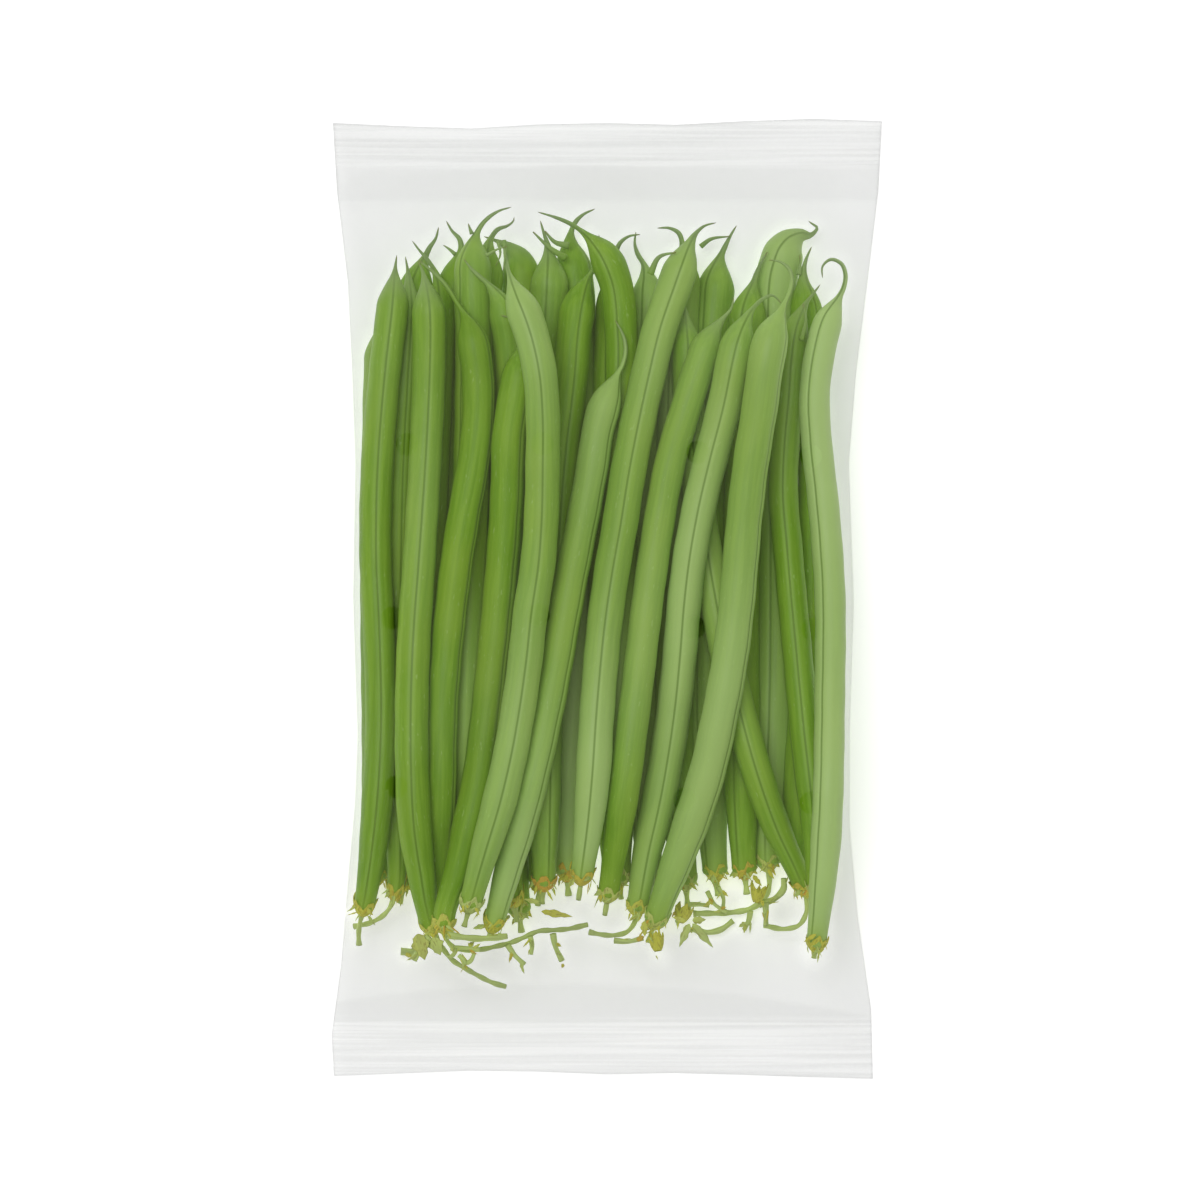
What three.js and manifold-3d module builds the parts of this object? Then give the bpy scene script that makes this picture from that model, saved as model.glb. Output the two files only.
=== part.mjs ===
// A retail bundle of fresh green beans in a clear film pillow bag, lying on its back.
// Millimetres. +X is across the bag, +Y runs from the stalk ends to the tails, +Z is up.
// The origin is on the surface it lies on, under the middle of the bag.
import * as THREE from "three";
import { mergeVertices } from "three/addons/utils/BufferGeometryUtils.js";
import Module from "manifold-3d";

const wasm = await Module();
wasm.setup();

// Driving dimensions of the bag
const FILM = 0.6;               // film as a solid sheet, thicker than life so that it has a body
const CLEARANCE = 0.35;         // free space between neighbouring pieces
const BAG_END = 105.2;          // half length, to the cut edge of each seal
const TOP_SEAL = 95.6;          // where the tail end's seal begins
const BOTTOM_SEAL = -94.7;      // where the stalk end's seal begins
const SEAL_LEVEL = 6;           // height of both flat seals above the surface
const FOLD_LEVEL = 11;          // height of the side folds along the filled part
const FLAT_BELOW = 1.6;         // film lower than this lies flat on the surface
const VENT_RADIUS = 2.5;
const VENT_SIDES = 10;

// Driving dimensions of a bean
const TIP_RADIUS = 0.3;
const TAIL_RADIUS = 0.62;       // where the tail meets the tapering pod
const NECK_SHARE = 0.66;        // of the full width, which is left at the stalk end
const CALYX_RADIUS = 2.7;
const STALK_RADIUS = 0.72;
const CUT_RADIUS = 0.95;        // the stalk widens a little at its cut end
const POD_TAPER = 8.5;          // length over which the tail end of a pod swells to full width
const NECK_TAPER = 22;          // length over which the stalk end narrows
const CALYX_LENGTH = 3.2;

// Half width of the bag to the left and right of the middle, at heights up the bag
const LEFT_EDGE = [[-105.2, 60.4], [-96, 60.9], [-80, 58.7], [-60, 57], [-45, 55.6], [-30, 55],
  [0, 56], [30, 55.5], [50, 56.2], [70, 57.2], [90, 59.7], [105.2, 60.6]];
const RIGHT_EDGE = [[-105.2, 58.6], [-90, 58.2], [-70, 55.2], [-50, 53.4], [-30, 53.4], [0, 54.3],
  [30, 53.2], [50, 54.8], [70, 57.3], [90, 59.8], [105.2, 60.6]];
// How far each end's cut edge waves in and out, from left to right
const TOP_WAVE = [0, -0.7, -1.2, -0.3, 0, -0.4, 0.4, 0.9, 0.4];
const BOTTOM_WAVE = [0, 0.6, 1.2, 1, 0.4, 0.7, 0.3, -0.2, -0.6];

// Centres of the vents on the front film, and of those on the back
const FRONT_VENTS = [[-43.9, 34], [-47.2, -4], [-46.2, -41], [-14.2, 34], [-15.1, -3.4],
  [-16.4, -41.9], [19.7, 32.2], [19, -6.1], [16.8, -43.7], [44.6, 31.5], [45, -6.5], [44.6, -44.5]];
const BACK_VENTS = [[-30, 34], [-30, -4], [-30, -42], [31, 33], [31, -5], [31, -43]];

const GREEN = [0x7fa03f, 0x86a648, 0x759a3c, 0x8cab55];

// Every bean: its widest diameter, its tail's length, and the route of its middle line seen from
// above, from the tip of the tail to the end of the pod, then the stalk's own points.
const BACK = [
  { width: 6.8, tail: 6, route: [[-48.8, 67], [-49.2, 63.5], [-49.6, 58], [-50, 46], [-50.4, 30],
    [-50.8, 0], [-50.4, -30], [-50.6, -50], [-51.2, -61]], stalk: [[-52.4, -66.5]] },
  { width: 7, tail: 8, route: [[-37.3, 82.2], [-37.9, 79.8], [-39.5, 77.3], [-42, 70],
    [-43, 55], [-43.6, 30], [-43.9, 0], [-43.4, -30], [-43.6, -50], [-44.6, -62]],
    stalk: [[-46, -67]] },
  { width: 7.2, tail: 8, route: [[-35.6, 83.6], [-34.2, 81.2], [-32.4, 79], [-33.4, 70],
    [-35.6, 55], [-36.4, 30], [-36.8, 0], [-36.2, -30], [-36.4, -50], [-37.4, -60]],
    stalk: [[-38.6, -65]] },
  { width: 7.2, tail: 9, route: [[-20.6, 84.3], [-20.9, 83], [-24, 81.8], [-25.8, 79.4],
    [-27, 72], [-28.2, 55], [-29, 30], [-29.6, 0], [-29, -30], [-29.4, -50], [-30.4, -61]],
    stalk: [[-31.4, -66.5]] },
  { width: 7.2, tail: 5, route: [[-27.3, 80.2], [-24, 79], [-21.4, 77.4], [-19.6, 74.6],
    [-19.2, 68], [-20.4, 50], [-21.8, 20], [-22.2, -10], [-21.8, -40], [-20.4, -62], [-19.6, -68.5]],
    stalk: [[-19, -73.5]] },
  { width: 7.3, tail: 7, route: [[-14.8, 83.5], [-14.1, 81], [-13.2, 78], [-12.8, 70.5],
    [-13.6, 58], [-14.4, 40], [-15, 10], [-14.6, -20], [-14.2, -45], [-14.8, -62]],
    stalk: [[-15.4, -67.6]] },
  { width: 7.2, tail: 9, route: [[-2.8, 86.3], [-5.9, 84.7], [-7.7, 82.2], [-8.2, 79],
    [-7.2, 71], [-6.6, 58], [-7, 30], [-7.6, 0], [-8, -25], [-8.8, -46], [-9, -60]],
    stalk: [[-8.6, -65.4]] },
  { width: 7.4, tail: 12, route: [[7.2, 80.6], [5, 80.3], [3, 79], [1.9, 76.6], [1.7, 73],
    [1.7, 66], [1, 50], [0.4, 20], [0, -10], [0.4, -40], [1.6, -60]], stalk: [[1.4, -65.5]] },
  { width: 7.2, tail: 9, route: [[6.3, 81.2], [6, 79], [6.6, 76.5], [8.2, 73.6], [9, 67],
    [8.4, 50], [7.6, 20], [7.3, -10], [7.8, -40], [9.6, -60]], stalk: [[10.4, -65.5]] },
  { width: 7.3, tail: 9, route: [[11, 82], [13.6, 82], [15.8, 80.8], [16.6, 78], [16.4, 72],
    [16, 60], [15.2, 40], [14.7, 15], [14.6, -15], [15.4, -45], [17.2, -62]],
    stalk: [[17.8, -68.6]] },
  { width: 7.4, tail: 8, route: [[28.5, 82.6], [27.4, 80.8], [26, 78], [24.8, 75], [23.6, 66],
    [23, 50], [22.4, 20], [22, -15], [22.5, -40], [23.8, -60]], stalk: [[24.4, -65.4]] },
  { width: 7.2, tail: 8, route: [[35.3, 76.7], [33.9, 74.2], [32.6, 71], [31, 63],
    [30.4, 47], [29.8, 20], [29.4, -5], [29.6, -30], [29.8, -50], [30.2, -59.5]],
    stalk: [[30.8, -65]] },
  { width: 8, tail: 6, route: [[44.4, 83.6], [46.6, 81.6], [45.2, 80.6], [42, 80.2],
    [39, 76.6], [37.3, 70], [36.9, 60], [37.2, 35], [37.2, 5], [36.8, -20], [36, -40],
    [35.4, -52], [35.4, -58]],
    stalk: [[35.8, -62.4], [34.8, -66], [31.4, -68.4], [27, -69.2], [19, -69.4]] },
  { width: 6.2, tail: 7, route: [[45, 77.8], [43.6, 74.4], [43.2, 71], [44, 62],
    [45.6, 40], [45.2, 10], [43.8, -20], [42.2, -40], [42.2, -50], [42.8, -60]],
    stalk: [[43.4, -65.6]] },
];
const MIDDLE = [
  { width: 6, tail: 5, route: [[-44.5, 75.5], [-43.8, 71], [-43.8, 64], [-44.6, 50],
    [-45.8, 30], [-46.6, 0], [-46.6, -30], [-46.6, -50], [-46.8, -64]],
    stalk: [[-48.4, -68.6], [-52, -71.2], [-56, -72.2]] },
  { width: 6.2, tail: 10, route: [[-43, 79], [-41.5, 77], [-39, 74], [-37.4, 70.5],
    [-36.6, 64], [-37, 50], [-37.8, 30], [-38.8, 5], [-39.2, -20], [-39.4, -42], [-40.2, -62]],
    stalk: [[-41.4, -67]] },
  { width: 8.2, tail: 11, route: [[-21.2, 86.3], [-24, 85.4], [-27, 83.2], [-28.8, 80.2],
    [-29.6, 73], [-29.4, 62], [-29.6, 40], [-30.6, 10], [-31, -20], [-31.6, -40], [-33.4, -64]],
    stalk: [[-34.6, -69]] },
  { width: 6.6, tail: 9, route: [[-31.6, 74.8], [-29.4, 72], [-26.4, 69.4], [-23.2, 64],
    [-21.6, 53], [-21.4, 35], [-22, 10], [-22.2, -20], [-22, -45], [-20.6, -65.5]],
    stalk: [[-20, -71]] },
  { width: 7.8, tail: 11, route: [[-1.9, 80.3], [-1.4, 77], [-2.6, 73.5], [-4.6, 70],
    [-6.6, 64], [-8, 50], [-10.4, 30], [-12, 10], [-13.2, -10], [-13.9, -40], [-14, -62]],
    stalk: [[-14.4, -67]] },
  { width: 7.4, tail: 13, route: [[-15.3, 85.2], [-12, 84.2], [-8.5, 82.8], [-5, 80.4],
    [-1, 76], [1.8, 69.5], [3.1, 57], [3, 40], [2.8, 12], [2.4, -20], [2.4, -40], [2.8, -61]],
    stalk: [[3, -66]] },
  { width: 7, tail: 5, route: [[15.8, 67.5], [16.8, 64.5], [17.4, 57], [18, 40], [20.3, 20],
    [23.6, 0], [27.9, -20], [33.5, -40], [38.8, -54], [43, -63]],
    stalk: [[44, -68], [42.6, -71.6], [38, -72.8], [34.6, -72]] },
];
const FRONT = [
  { width: 6.6, tail: 6, route: [[46.8, 69.3], [45.2, 67.2], [43.6, 65], [41.3, 59],
    [39.6, 40], [38.6, 27], [39.8, 10], [41.6, -10], [43.5, -30], [45.6, -50], [46, -63.5]],
    stalk: [[46.8, -69.5]] },
  { width: 7.2, tail: 17, route: [[-41.5, 74.5], [-38.5, 72], [-35.5, 69], [-33, 65],
    [-31, 61.5], [-28.9, 53], [-28.3, 42], [-29.4, 30], [-32.1, 15], [-34.1, 0],
    [-36, -20], [-36.7, -45], [-37.5, -66]], stalk: [[-38.2, -71]] },
  { width: 7.2, tail: 3.5, route: [[-46.3, 75.6], [-46.6, 73], [-47.1, 65], [-48.8, 50],
    [-50.5, 30], [-50.9, 10], [-50, -10], [-49.7, -30], [-51, -50], [-52.7, -62], [-53.6, -67.5]],
    stalk: [[-54.8, -72.4], [-54.8, -76.2]] },
  { width: 7.4, tail: 4, route: [[-41.5, 74.2], [-40.4, 71.5], [-39.3, 64], [-39.2, 50],
    [-40, 30], [-41.2, 10], [-42.5, -10], [-42.9, -30], [-42.2, -50], [-40.4, -63], [-38.7, -71.5]],
    stalk: [[-36.4, -76.4], [-34, -79.4], [-30, -81.9], [-26, -84.1], [-22.4, -85.3]] },
  { width: 7.3, tail: 9, route: [[-23.3, 62.2], [-21.3, 61.8], [-19.6, 60.2], [-18.7, 56.5],
    [-19.6, 49], [-21.5, 37], [-22.2, 20], [-23.8, 0], [-25.9, -20], [-28.4, -40],
    [-33, -60], [-35.9, -71]],
    stalk: [[-34.6, -75.8], [-30, -77], [-25, -76.3], [-20, -75], [-15, -72.9], [-10, -72.7],
      [-4.4, -71.6]] },
  { width: 7.2, tail: 14, route: [[1.7, 61.3], [3.2, 58.5], [4, 55.5], [3.5, 52],
    [1.8, 48.5], [-1.4, 40], [-4, 25], [-6.9, 10], [-8.8, 0], [-12.3, -20],
    [-16.6, -40], [-22, -60], [-25, -71]], stalk: [[-26.2, -74.8]] },
  { width: 7.6, tail: 9, route: [[-22.8, 78.5], [-22.4, 75], [-21.6, 71.5], [-20.4, 68],
    [-17.3, 60], [-14.6, 48], [-14.2, 30], [-15, 10], [-16.5, 0], [-18.9, -20],
    [-22.6, -40], [-28.3, -60], [-30, -66.5]], stalk: [[-31.4, -71.6]] },
  { width: 7.2, tail: 6.5, route: [[27.7, 66.3], [27.2, 64], [25.3, 61.6], [22.6, 57.6],
    [18.2, 45], [13.7, 30], [11, 15], [8.8, 0], [6.4, -20], [3.8, -40], [0.9, -60],
    [0.2, -64.5]], stalk: [[-0.6, -69.5]] },
  { width: 7.8, tail: 7, route: [[23.8, 82.8], [21.5, 82.2], [19.6, 80.7], [18.2, 78.3],
    [15.1, 70], [11.6, 60], [8, 45], [4.9, 30], [2.5, 15], [0, 0], [-2, -20],
    [-3.6, -44], [-5.6, -60.5]], stalk: [[-6.4, -66]] },
  { width: 7.6, tail: 10, route: [[38, 65], [36.4, 66.6], [34.3, 66], [31.9, 63.8],
    [30, 60.4], [28.2, 55], [26.2, 45], [22.4, 30], [19, 15], [16.9, 0],
    [15.1, -20], [12.1, -40], [7.8, -60], [6.6, -67.5]],
    stalk: [[5.4, -72.4], [1, -74], [-4, -73.2]] },
  { width: 6.8, tail: 17, route: [[47.3, 70.8], [47.2, 73], [48.2, 74.5], [49.8, 74.8],
    [51.4, 73.9], [52.3, 71.8], [52.2, 69.5], [51.2, 67], [48.1, 60], [46, 50],
    [45.4, 41], [46.5, 30], [48, 15], [48.9, 0], [48.8, -20], [48.1, -50], [45.9, -75.4]],
    stalk: [[45.4, -78.8]] },
  { width: 8, tail: 16, route: [[35.3, 74.3], [37.2, 74.1], [39.2, 73], [40.3, 70.7],
    [39.9, 67.5], [38.6, 64.3], [35.6, 56.5], [33, 40], [30.7, 25], [29.3, 10],
    [27.3, -10], [24.7, -25], [21.3, -40], [16.2, -55], [10.6, -70.4]],
    stalk: [[9, -75.4]] },
];

// Plain interpolation in a list of [place, value] pairs
function lookUp(table, at) {
  const last = table.length - 1;
  if (at <= table[0][0]) return table[0][1];
  for (let i = 1; i <= last; i++) {
    if (at > table[i][0]) continue;
    const share = (at - table[i - 1][0]) / (table[i][0] - table[i - 1][0]);
    return THREE.MathUtils.lerp(table[i - 1][1], table[i][1], share);
  }
  return table[last][1];
}

const smooth = (from, to, at) => THREE.MathUtils.smoothstep(at, from, to);

// The middle line of a bean, seen from above: points every STEP along a curve through its route,
// each with its distance from the tip and its radius.
const STEP = 1.5;
function traceBean(bean) {
  const points = [...bean.route, ...bean.stalk].map(([x, y]) => new THREE.Vector3(x, y, 0));
  const curve = new THREE.CatmullRomCurve3(points, false, "centripetal");
  curve.arcLengthDivisions = 400;
  const podPoints = points.slice(0, bean.route.length);
  const pod = new THREE.CatmullRomCurve3(podPoints, false, "centripetal").getLength();
  const length = curve.getLength();
  const count = Math.round(length / STEP);
  const samples = [];
  for (let i = 0; i <= count; i++) {
    const along = (length * i) / count;
    const at = curve.getPointAt(i / count);
    let radius = radiusAt(bean, along, pod);
    if (Math.abs(along - pod) < STEP) radius = CALYX_RADIUS;
    if (length - along < STEP) radius = CUT_RADIUS;
    samples.push({ x: at.x, y: at.y, z: 0, along, radius });
  }
  return { ...bean, curve, pod, length, samples };
}

// Radius along a bean: thin tail, tapering pod, narrow neck, calyx and stalk
function radiusAt(bean, along, pod) {
  const full = bean.width / 2;
  if (along > pod) {
    const past = along - pod;
    if (past < CALYX_LENGTH) return THREE.MathUtils.lerp(CALYX_RADIUS, STALK_RADIUS, past / CALYX_LENGTH);
    return STALK_RADIUS;
  }
  const tail = THREE.MathUtils.lerp(TIP_RADIUS, TAIL_RADIUS, Math.min(1, along / bean.tail));
  const swell = smooth(0, POD_TAPER, along - bean.tail * 0.85) ** 0.8;
  const neck = THREE.MathUtils.lerp(NECK_SHARE, 1, smooth(0, NECK_TAPER, pod - along));
  return tail + (full * neck - tail) * swell;
}

// Each bean settles on the film and on the beans already placed: its middle line is nowhere lower
// than touching them, and is otherwise as straight as a stiff pod that sags a little.
const STIFFNESS = 500;          // radius of the sag between two supports
const SWEEPS = 5000;
const TIP_DROOP = 0.09;         // fall of the last step at the free tip of a tail
const STALK_DROOP = 0.45;       // fall of each step along the limp stalk
const placed = [];
function settle(bean) {
  const floor = FILM + CLEARANCE;
  const low = bean.samples.map((s) => {
    let z = floor + s.radius;
    for (const other of placed) {
      for (const o of other.samples) {
        const reach = s.radius + o.radius + CLEARANCE;
        const apart = Math.hypot(s.x - o.x, s.y - o.y);
        if (apart < reach) z = Math.max(z, o.z + Math.sqrt(reach * reach - apart * apart));
      }
    }
    return z;
  });
  const z = [...low];
  const sag = (STEP * STEP) / (2 * STIFFNESS);
  const podEnd = bean.samples.findIndex((s) => s.along > bean.pod + CALYX_LENGTH);
  for (let sweep = 0; sweep < SWEEPS; sweep++) {
    z[0] = Math.max(low[0], z[1] - TIP_DROOP);
    for (let i = 1; i < podEnd; i++) z[i] = Math.max(low[i], (z[i - 1] + z[i + 1]) / 2 - sag);
    for (let i = podEnd; i < z.length; i++) {
      const next = i + 1 < z.length ? z[i + 1] : 0;
      z[i] = Math.max(low[i], z[i - 1] - STALK_DROOP, next - STALK_DROOP);
    }
  }
  bean.samples.forEach((s, i) => { s.z = z[i]; });
  placed.push(bean);
}

// A layer is laid bean by bean, or every other bean first so that the rest nest between them
function settleInTurn(beans) {
  for (const bean of beans) settle(bean);
}

function settleAlternately(beans) {
  for (const first of [0, 1]) {
    for (let i = first; i < beans.length; i += 2) settle(beans[i]);
  }
}

function heightAt(bean, along) {
  return lookUp(bean.samples.map((s) => [s.along, s.z]), along);
}

// Stations of the loft: close together along the tail and the calyx, far apart along the pod
function stations(bean, podStep) {
  const list = [0.6];
  for (let a = 2.4; a < bean.tail; a += 2.6) list.push(a);
  for (const share of [0, 0.3, 0.65, 1]) list.push(bean.tail + 1.2 + POD_TAPER * share);
  const from = bean.tail + 1.2 + POD_TAPER;
  const to = bean.pod - 1;
  const steps = Math.round((to - from) / podStep);
  for (let i = 1; i <= steps; i++) list.push(from + ((to - from) * i) / steps);
  return list;
}

// A bean as one closed solid: rings of vertices round the middle line, with a point at the tip and
// a flat cut at the end of the stalk. The calyx ring stands out in lobes.
function beanGeometry(bean, sides, podStep) {
  const rings = stations(bean, podStep).map((along) => ({ along, radius: radiusAt(bean, along, bean.pod) }));
  rings.push({ along: bean.pod, radius: CALYX_RADIUS, lobes: 0.8 });
  rings.push({ along: bean.pod + CALYX_LENGTH * 0.5, radius: 1.5 });
  rings.push({ along: bean.pod + CALYX_LENGTH, radius: STALK_RADIUS });
  for (let a = bean.pod + CALYX_LENGTH + 3; a < bean.length - 2; a += 3.2) {
    rings.push({ along: a, radius: STALK_RADIUS });
  }
  rings.push({ along: bean.length, radius: CUT_RADIUS });

  const up = new THREE.Vector3(0, 0, 1);
  const place = (along) => {
    const at = bean.curve.getPointAt(Math.min(1, Math.max(0, along / bean.length)));
    at.z = heightAt(bean, along);
    return at;
  };
  const positions = [];
  const index = [];
  const tip = place(0);
  positions.push(tip.x, tip.y, tip.z);
  for (const ring of rings) {
    const centre = place(ring.along);
    const ahead = place(ring.along + 0.4).sub(place(ring.along - 0.4)).normalize();
    const side = new THREE.Vector3().crossVectors(ahead, up).normalize();
    const top = new THREE.Vector3().crossVectors(side, ahead);
    for (let k = 0; k < sides; k++) {
      const angle = (2 * Math.PI * k) / sides;
      const radius = ring.radius * (ring.lobes && k % 2 ? ring.lobes : 1);
      const v = centre.clone().addScaledVector(side, radius * Math.cos(angle));
      v.addScaledVector(top, radius * Math.sin(angle));
      positions.push(v.x, v.y, v.z);
    }
  }
  const end = place(bean.length);
  positions.push(end.x, end.y, end.z);
  const endIndex = positions.length / 3 - 1;
  for (let k = 0; k < sides; k++) {
    const next = (k + 1) % sides;
    index.push(0, 1 + k, 1 + next);
    for (let r = 0; r < rings.length - 1; r++) {
      const a = 1 + r * sides;
      const b = a + sides;
      index.push(a + k, b + next, a + next, a + k, b + k, b + next);
    }
    const a = 1 + (rings.length - 1) * sides;
    index.push(a + k, endIndex, a + next);
  }
  const geometry = new THREE.BufferGeometry();
  geometry.setAttribute("position", new THREE.Float32BufferAttribute(positions, 3));
  geometry.setIndex(index);
  return geometry;
}

const bundle = new THREE.Group();
bundle.name = "green_bean_bundle";

function addMesh(name, geometry, color, roughness, opacity) {
  geometry.computeVertexNormals();
  const material = new THREE.MeshStandardMaterial({ color, roughness, metalness: 0 });
  if (opacity < 1) {
    material.transparent = true;
    material.opacity = opacity;
  }
  const mesh = new THREE.Mesh(geometry, material);
  mesh.name = name;
  bundle.add(mesh);
}

function addLayer(layer, name, sides, podStep, lay) {
  const beans = layer.map(traceBean);
  lay(beans);
  beans.forEach((bean, i) => {
    const number = String(i + 1).padStart(2, "0");
    addMesh(`${name}_${number}`, beanGeometry(bean, sides, podStep), GREEN[i % GREEN.length], 0.45, 1);
  });
}

addLayer(BACK, "bean_back", 6, 16, settleAlternately);
addLayer(MIDDLE, "bean_middle", 6, 13, settleInTurn);
addLayer(FRONT, "bean_front", 8, 11, settleInTurn);

// The film lies over the beans like a taut sheet. It is worked out on a grid of columns, which are
// shares of the bag's width and closer together at the sides, and rows up the bag.
const HALF_COLUMNS = 7;
const ROWS = 23;
const columns = [];
for (let i = -HALF_COLUMNS; i <= HALF_COLUMNS; i++) {
  columns.push(Math.sin((Math.PI / 2) * (i / HALF_COLUMNS)));
}
const rows = [];
for (let j = 0; j <= ROWS; j++) rows.push(THREE.MathUtils.lerp(BOTTOM_SEAL, TOP_SEAL, j / ROWS));
const edgeX = (share, y) => share * lookUp(share < 0 ? LEFT_EDGE : RIGHT_EDGE, y);
const foldLevel = (y) => {
  const fromSeal = Math.min(TOP_SEAL - y, y - BOTTOM_SEAL);
  return THREE.MathUtils.lerp(SEAL_LEVEL, FOLD_LEVEL, smooth(0, 30, fromSeal));
};

// Highest and lowest that the beans reach within half a grid cell of a place
const wallAt = (share) => FILM * (1 + share ** 6);
const halfRow = (TOP_SEAL - BOTTOM_SEAL) / ROWS / 2;
function beanSpan(column, y) {
  const x = edgeX(columns[column], y);
  const wall = wallAt(columns[column]);
  const next = columns[Math.min(column + 1, columns.length - 1)];
  const before = columns[Math.max(column - 1, 0)];
  const halfColumn = Math.max(edgeX(next, y) - x, x - edgeX(before, y)) / 2;
  let high = 0;
  let low = Infinity;
  for (const bean of placed) {
    for (const s of bean.samples) {
      const acrossBy = Math.max(0, Math.abs(s.x - x) - halfColumn);
      const apart = Math.hypot(acrossBy, Math.max(0, Math.abs(s.y - y) - halfRow));
      const room = s.radius + CLEARANCE;
      if (apart >= room) continue;
      const half = Math.sqrt(room * room - apart * apart);
      high = Math.max(high, s.z + half + wall);
      low = Math.min(low, s.z - half - wall);
    }
  }
  return { high, low };
}

const upper = rows.map((y) => columns.map(() => foldLevel(y)));
const lower = rows.map((y) => columns.map(() => foldLevel(y)));
const spans = rows.map((y) => columns.map((c, i) => beanSpan(i, y)));
const MEMBRANE_SWEEPS = 400;
for (let sweep = 0; sweep < MEMBRANE_SWEEPS; sweep++) {
  for (let j = 1; j < ROWS; j++) {
    for (let i = 1; i < columns.length - 1; i++) {
      const around = (grid) => (grid[j - 1][i] + grid[j + 1][i] + grid[j][i - 1] + grid[j][i + 1]) / 4;
      upper[j][i] = Math.max(spans[j][i].high, around(upper));
      lower[j][i] = Math.max(0, Math.min(spans[j][i].low, around(lower)));
    }
  }
}

// A closed skin over the rows: each section is a loop, the upper film from left to right and the
// lower film back. The sections run from one end of the bag to the other.
function loft(sections) {
  const positions = sections.flat(2);
  const count = sections[0].length;
  const index = [];
  for (let s = 0; s < sections.length - 1; s++) {
    for (let k = 0; k < count; k++) {
      const a = s * count + k;
      const b = s * count + ((k + 1) % count);
      index.push(a, b, a + count, b, b + count, a + count);
    }
  }
  const half = count / 2;
  const cap = (base, flip) => {
    for (let k = 0; k < half - 1; k++) {
      const quad = [base + k, base + k + 1, base + count - 2 - k, base + count - 1 - k];
      const order = flip ? [0, 2, 1, 0, 3, 2] : [0, 1, 2, 0, 2, 3];
      index.push(...order.map((o) => quad[o]));
    }
  };
  cap(0, true);
  cap((sections.length - 1) * count, false);
  const geometry = new THREE.BufferGeometry();
  geometry.setAttribute("position", new THREE.Float32BufferAttribute(positions, 3));
  geometry.setIndex(index);
  return geometry;
}

function section(heights, depths, inset, place) {
  const over = columns.map((c, i) => [...place(c, inset), heights[i]]);
  const under = columns.map((c, i) => [...place(c, inset), depths[i]]);
  return [...over, ...under.reverse()];
}

const inside = (y) => (c, inset) => {
  const x = edgeX(c, y);
  return [Math.abs(c) === 1 ? x - c * inset : x, y];
};

function sealSection(end, wave) {
  const top = columns.map(() => SEAL_LEVEL + FILM);
  const bottom = columns.map(() => SEAL_LEVEL - FILM);
  const place = (c) => {
    const y = end + lookUp(wave.map((w, i) => [-1 + (2 * i) / (wave.length - 1), w]), c);
    return [edgeX(c, end), y];
  };
  return section(top, bottom, 0, place);
}

function outerSections() {
  const sections = [sealSection(-BAG_END, BOTTOM_WAVE)];
  rows.forEach((y, j) => {
    const middle = upper[j].map((u, i) => (u + lower[j][i]) / 2);
    const half = upper[j].map((u, i) => Math.max(FILM, (u - lower[j][i]) / 2));
    const over = middle.map((m, i) => m + half[i]);
    const under = middle.map((m, i) => (m - half[i] < FLAT_BELOW ? 0 : m - half[i]));
    sections.push(section(over, under, 0, inside(y)));
  });
  sections.push(sealSection(BAG_END, TOP_WAVE));
  return sections;
}

function innerSections() {
  const thin = 0.03;
  return rows.slice(1, -1).map((y, index) => {
    const j = index + 1;
    const under = lower[j].map((l) => (l < FLAT_BELOW ? 0 : l));
    const middle = upper[j].map((u, i) => (u + under[i]) / 2);
    const half = upper[j].map((u, i) => Math.max(thin, (u - under[i]) / 2 - wallAt(columns[i])));
    return section(middle.map((m, i) => m + half[i]), middle.map((m, i) => m - half[i]), FILM, inside(y));
  });
}

function toSolid(geometry) {
  geometry.deleteAttribute("normal");
  geometry.deleteAttribute("uv");
  const merged = mergeVertices(geometry, 1e-4);
  return new wasm.Manifold(new wasm.Mesh({
    numProp: 3,
    vertProperties: new Float32Array(merged.attributes.position.array),
    triVerts: new Uint32Array(merged.index.array),
  }));
}

function toGeometry(solid) {
  const mesh = solid.getMesh();
  const geometry = new THREE.BufferGeometry();
  geometry.setAttribute("position", new THREE.BufferAttribute(mesh.vertProperties, 3));
  geometry.setIndex(new THREE.BufferAttribute(mesh.triVerts, 1));
  return geometry;
}

// A vent is a round hole punched through one film only, from its outside to the bag's hollow
function ventCutter([x, y], from, to) {
  const cutter = new THREE.CylinderGeometry(VENT_RADIUS, VENT_RADIUS, to - from, VENT_SIDES);
  cutter.rotateX(Math.PI / 2);
  cutter.translate(x, y, (from + to) / 2);
  return toSolid(cutter);
}

const bagTop = Math.max(...upper.flat()) + 5;
let film = toSolid(loft(outerSections())).subtract(toSolid(loft(innerSections())));
for (const vent of FRONT_VENTS) film = film.subtract(ventCutter(vent, FOLD_LEVEL + 1, bagTop));
for (const vent of BACK_VENTS) film = film.subtract(ventCutter(vent, -1, FILM * 3));
addMesh("film_bag", toGeometry(film), 0xe6e9e6, 0.25, 0.35);

export default bundle;
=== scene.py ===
"""Green beans in a clear film pillow bag: the finished surfaces, around the solid model.

Every pod follows the middle line of its own solid, and the film is drawn tight over the pods.
Lengths in the tables and in the shape functions are millimetres; Blender's own are metres.
"""

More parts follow.
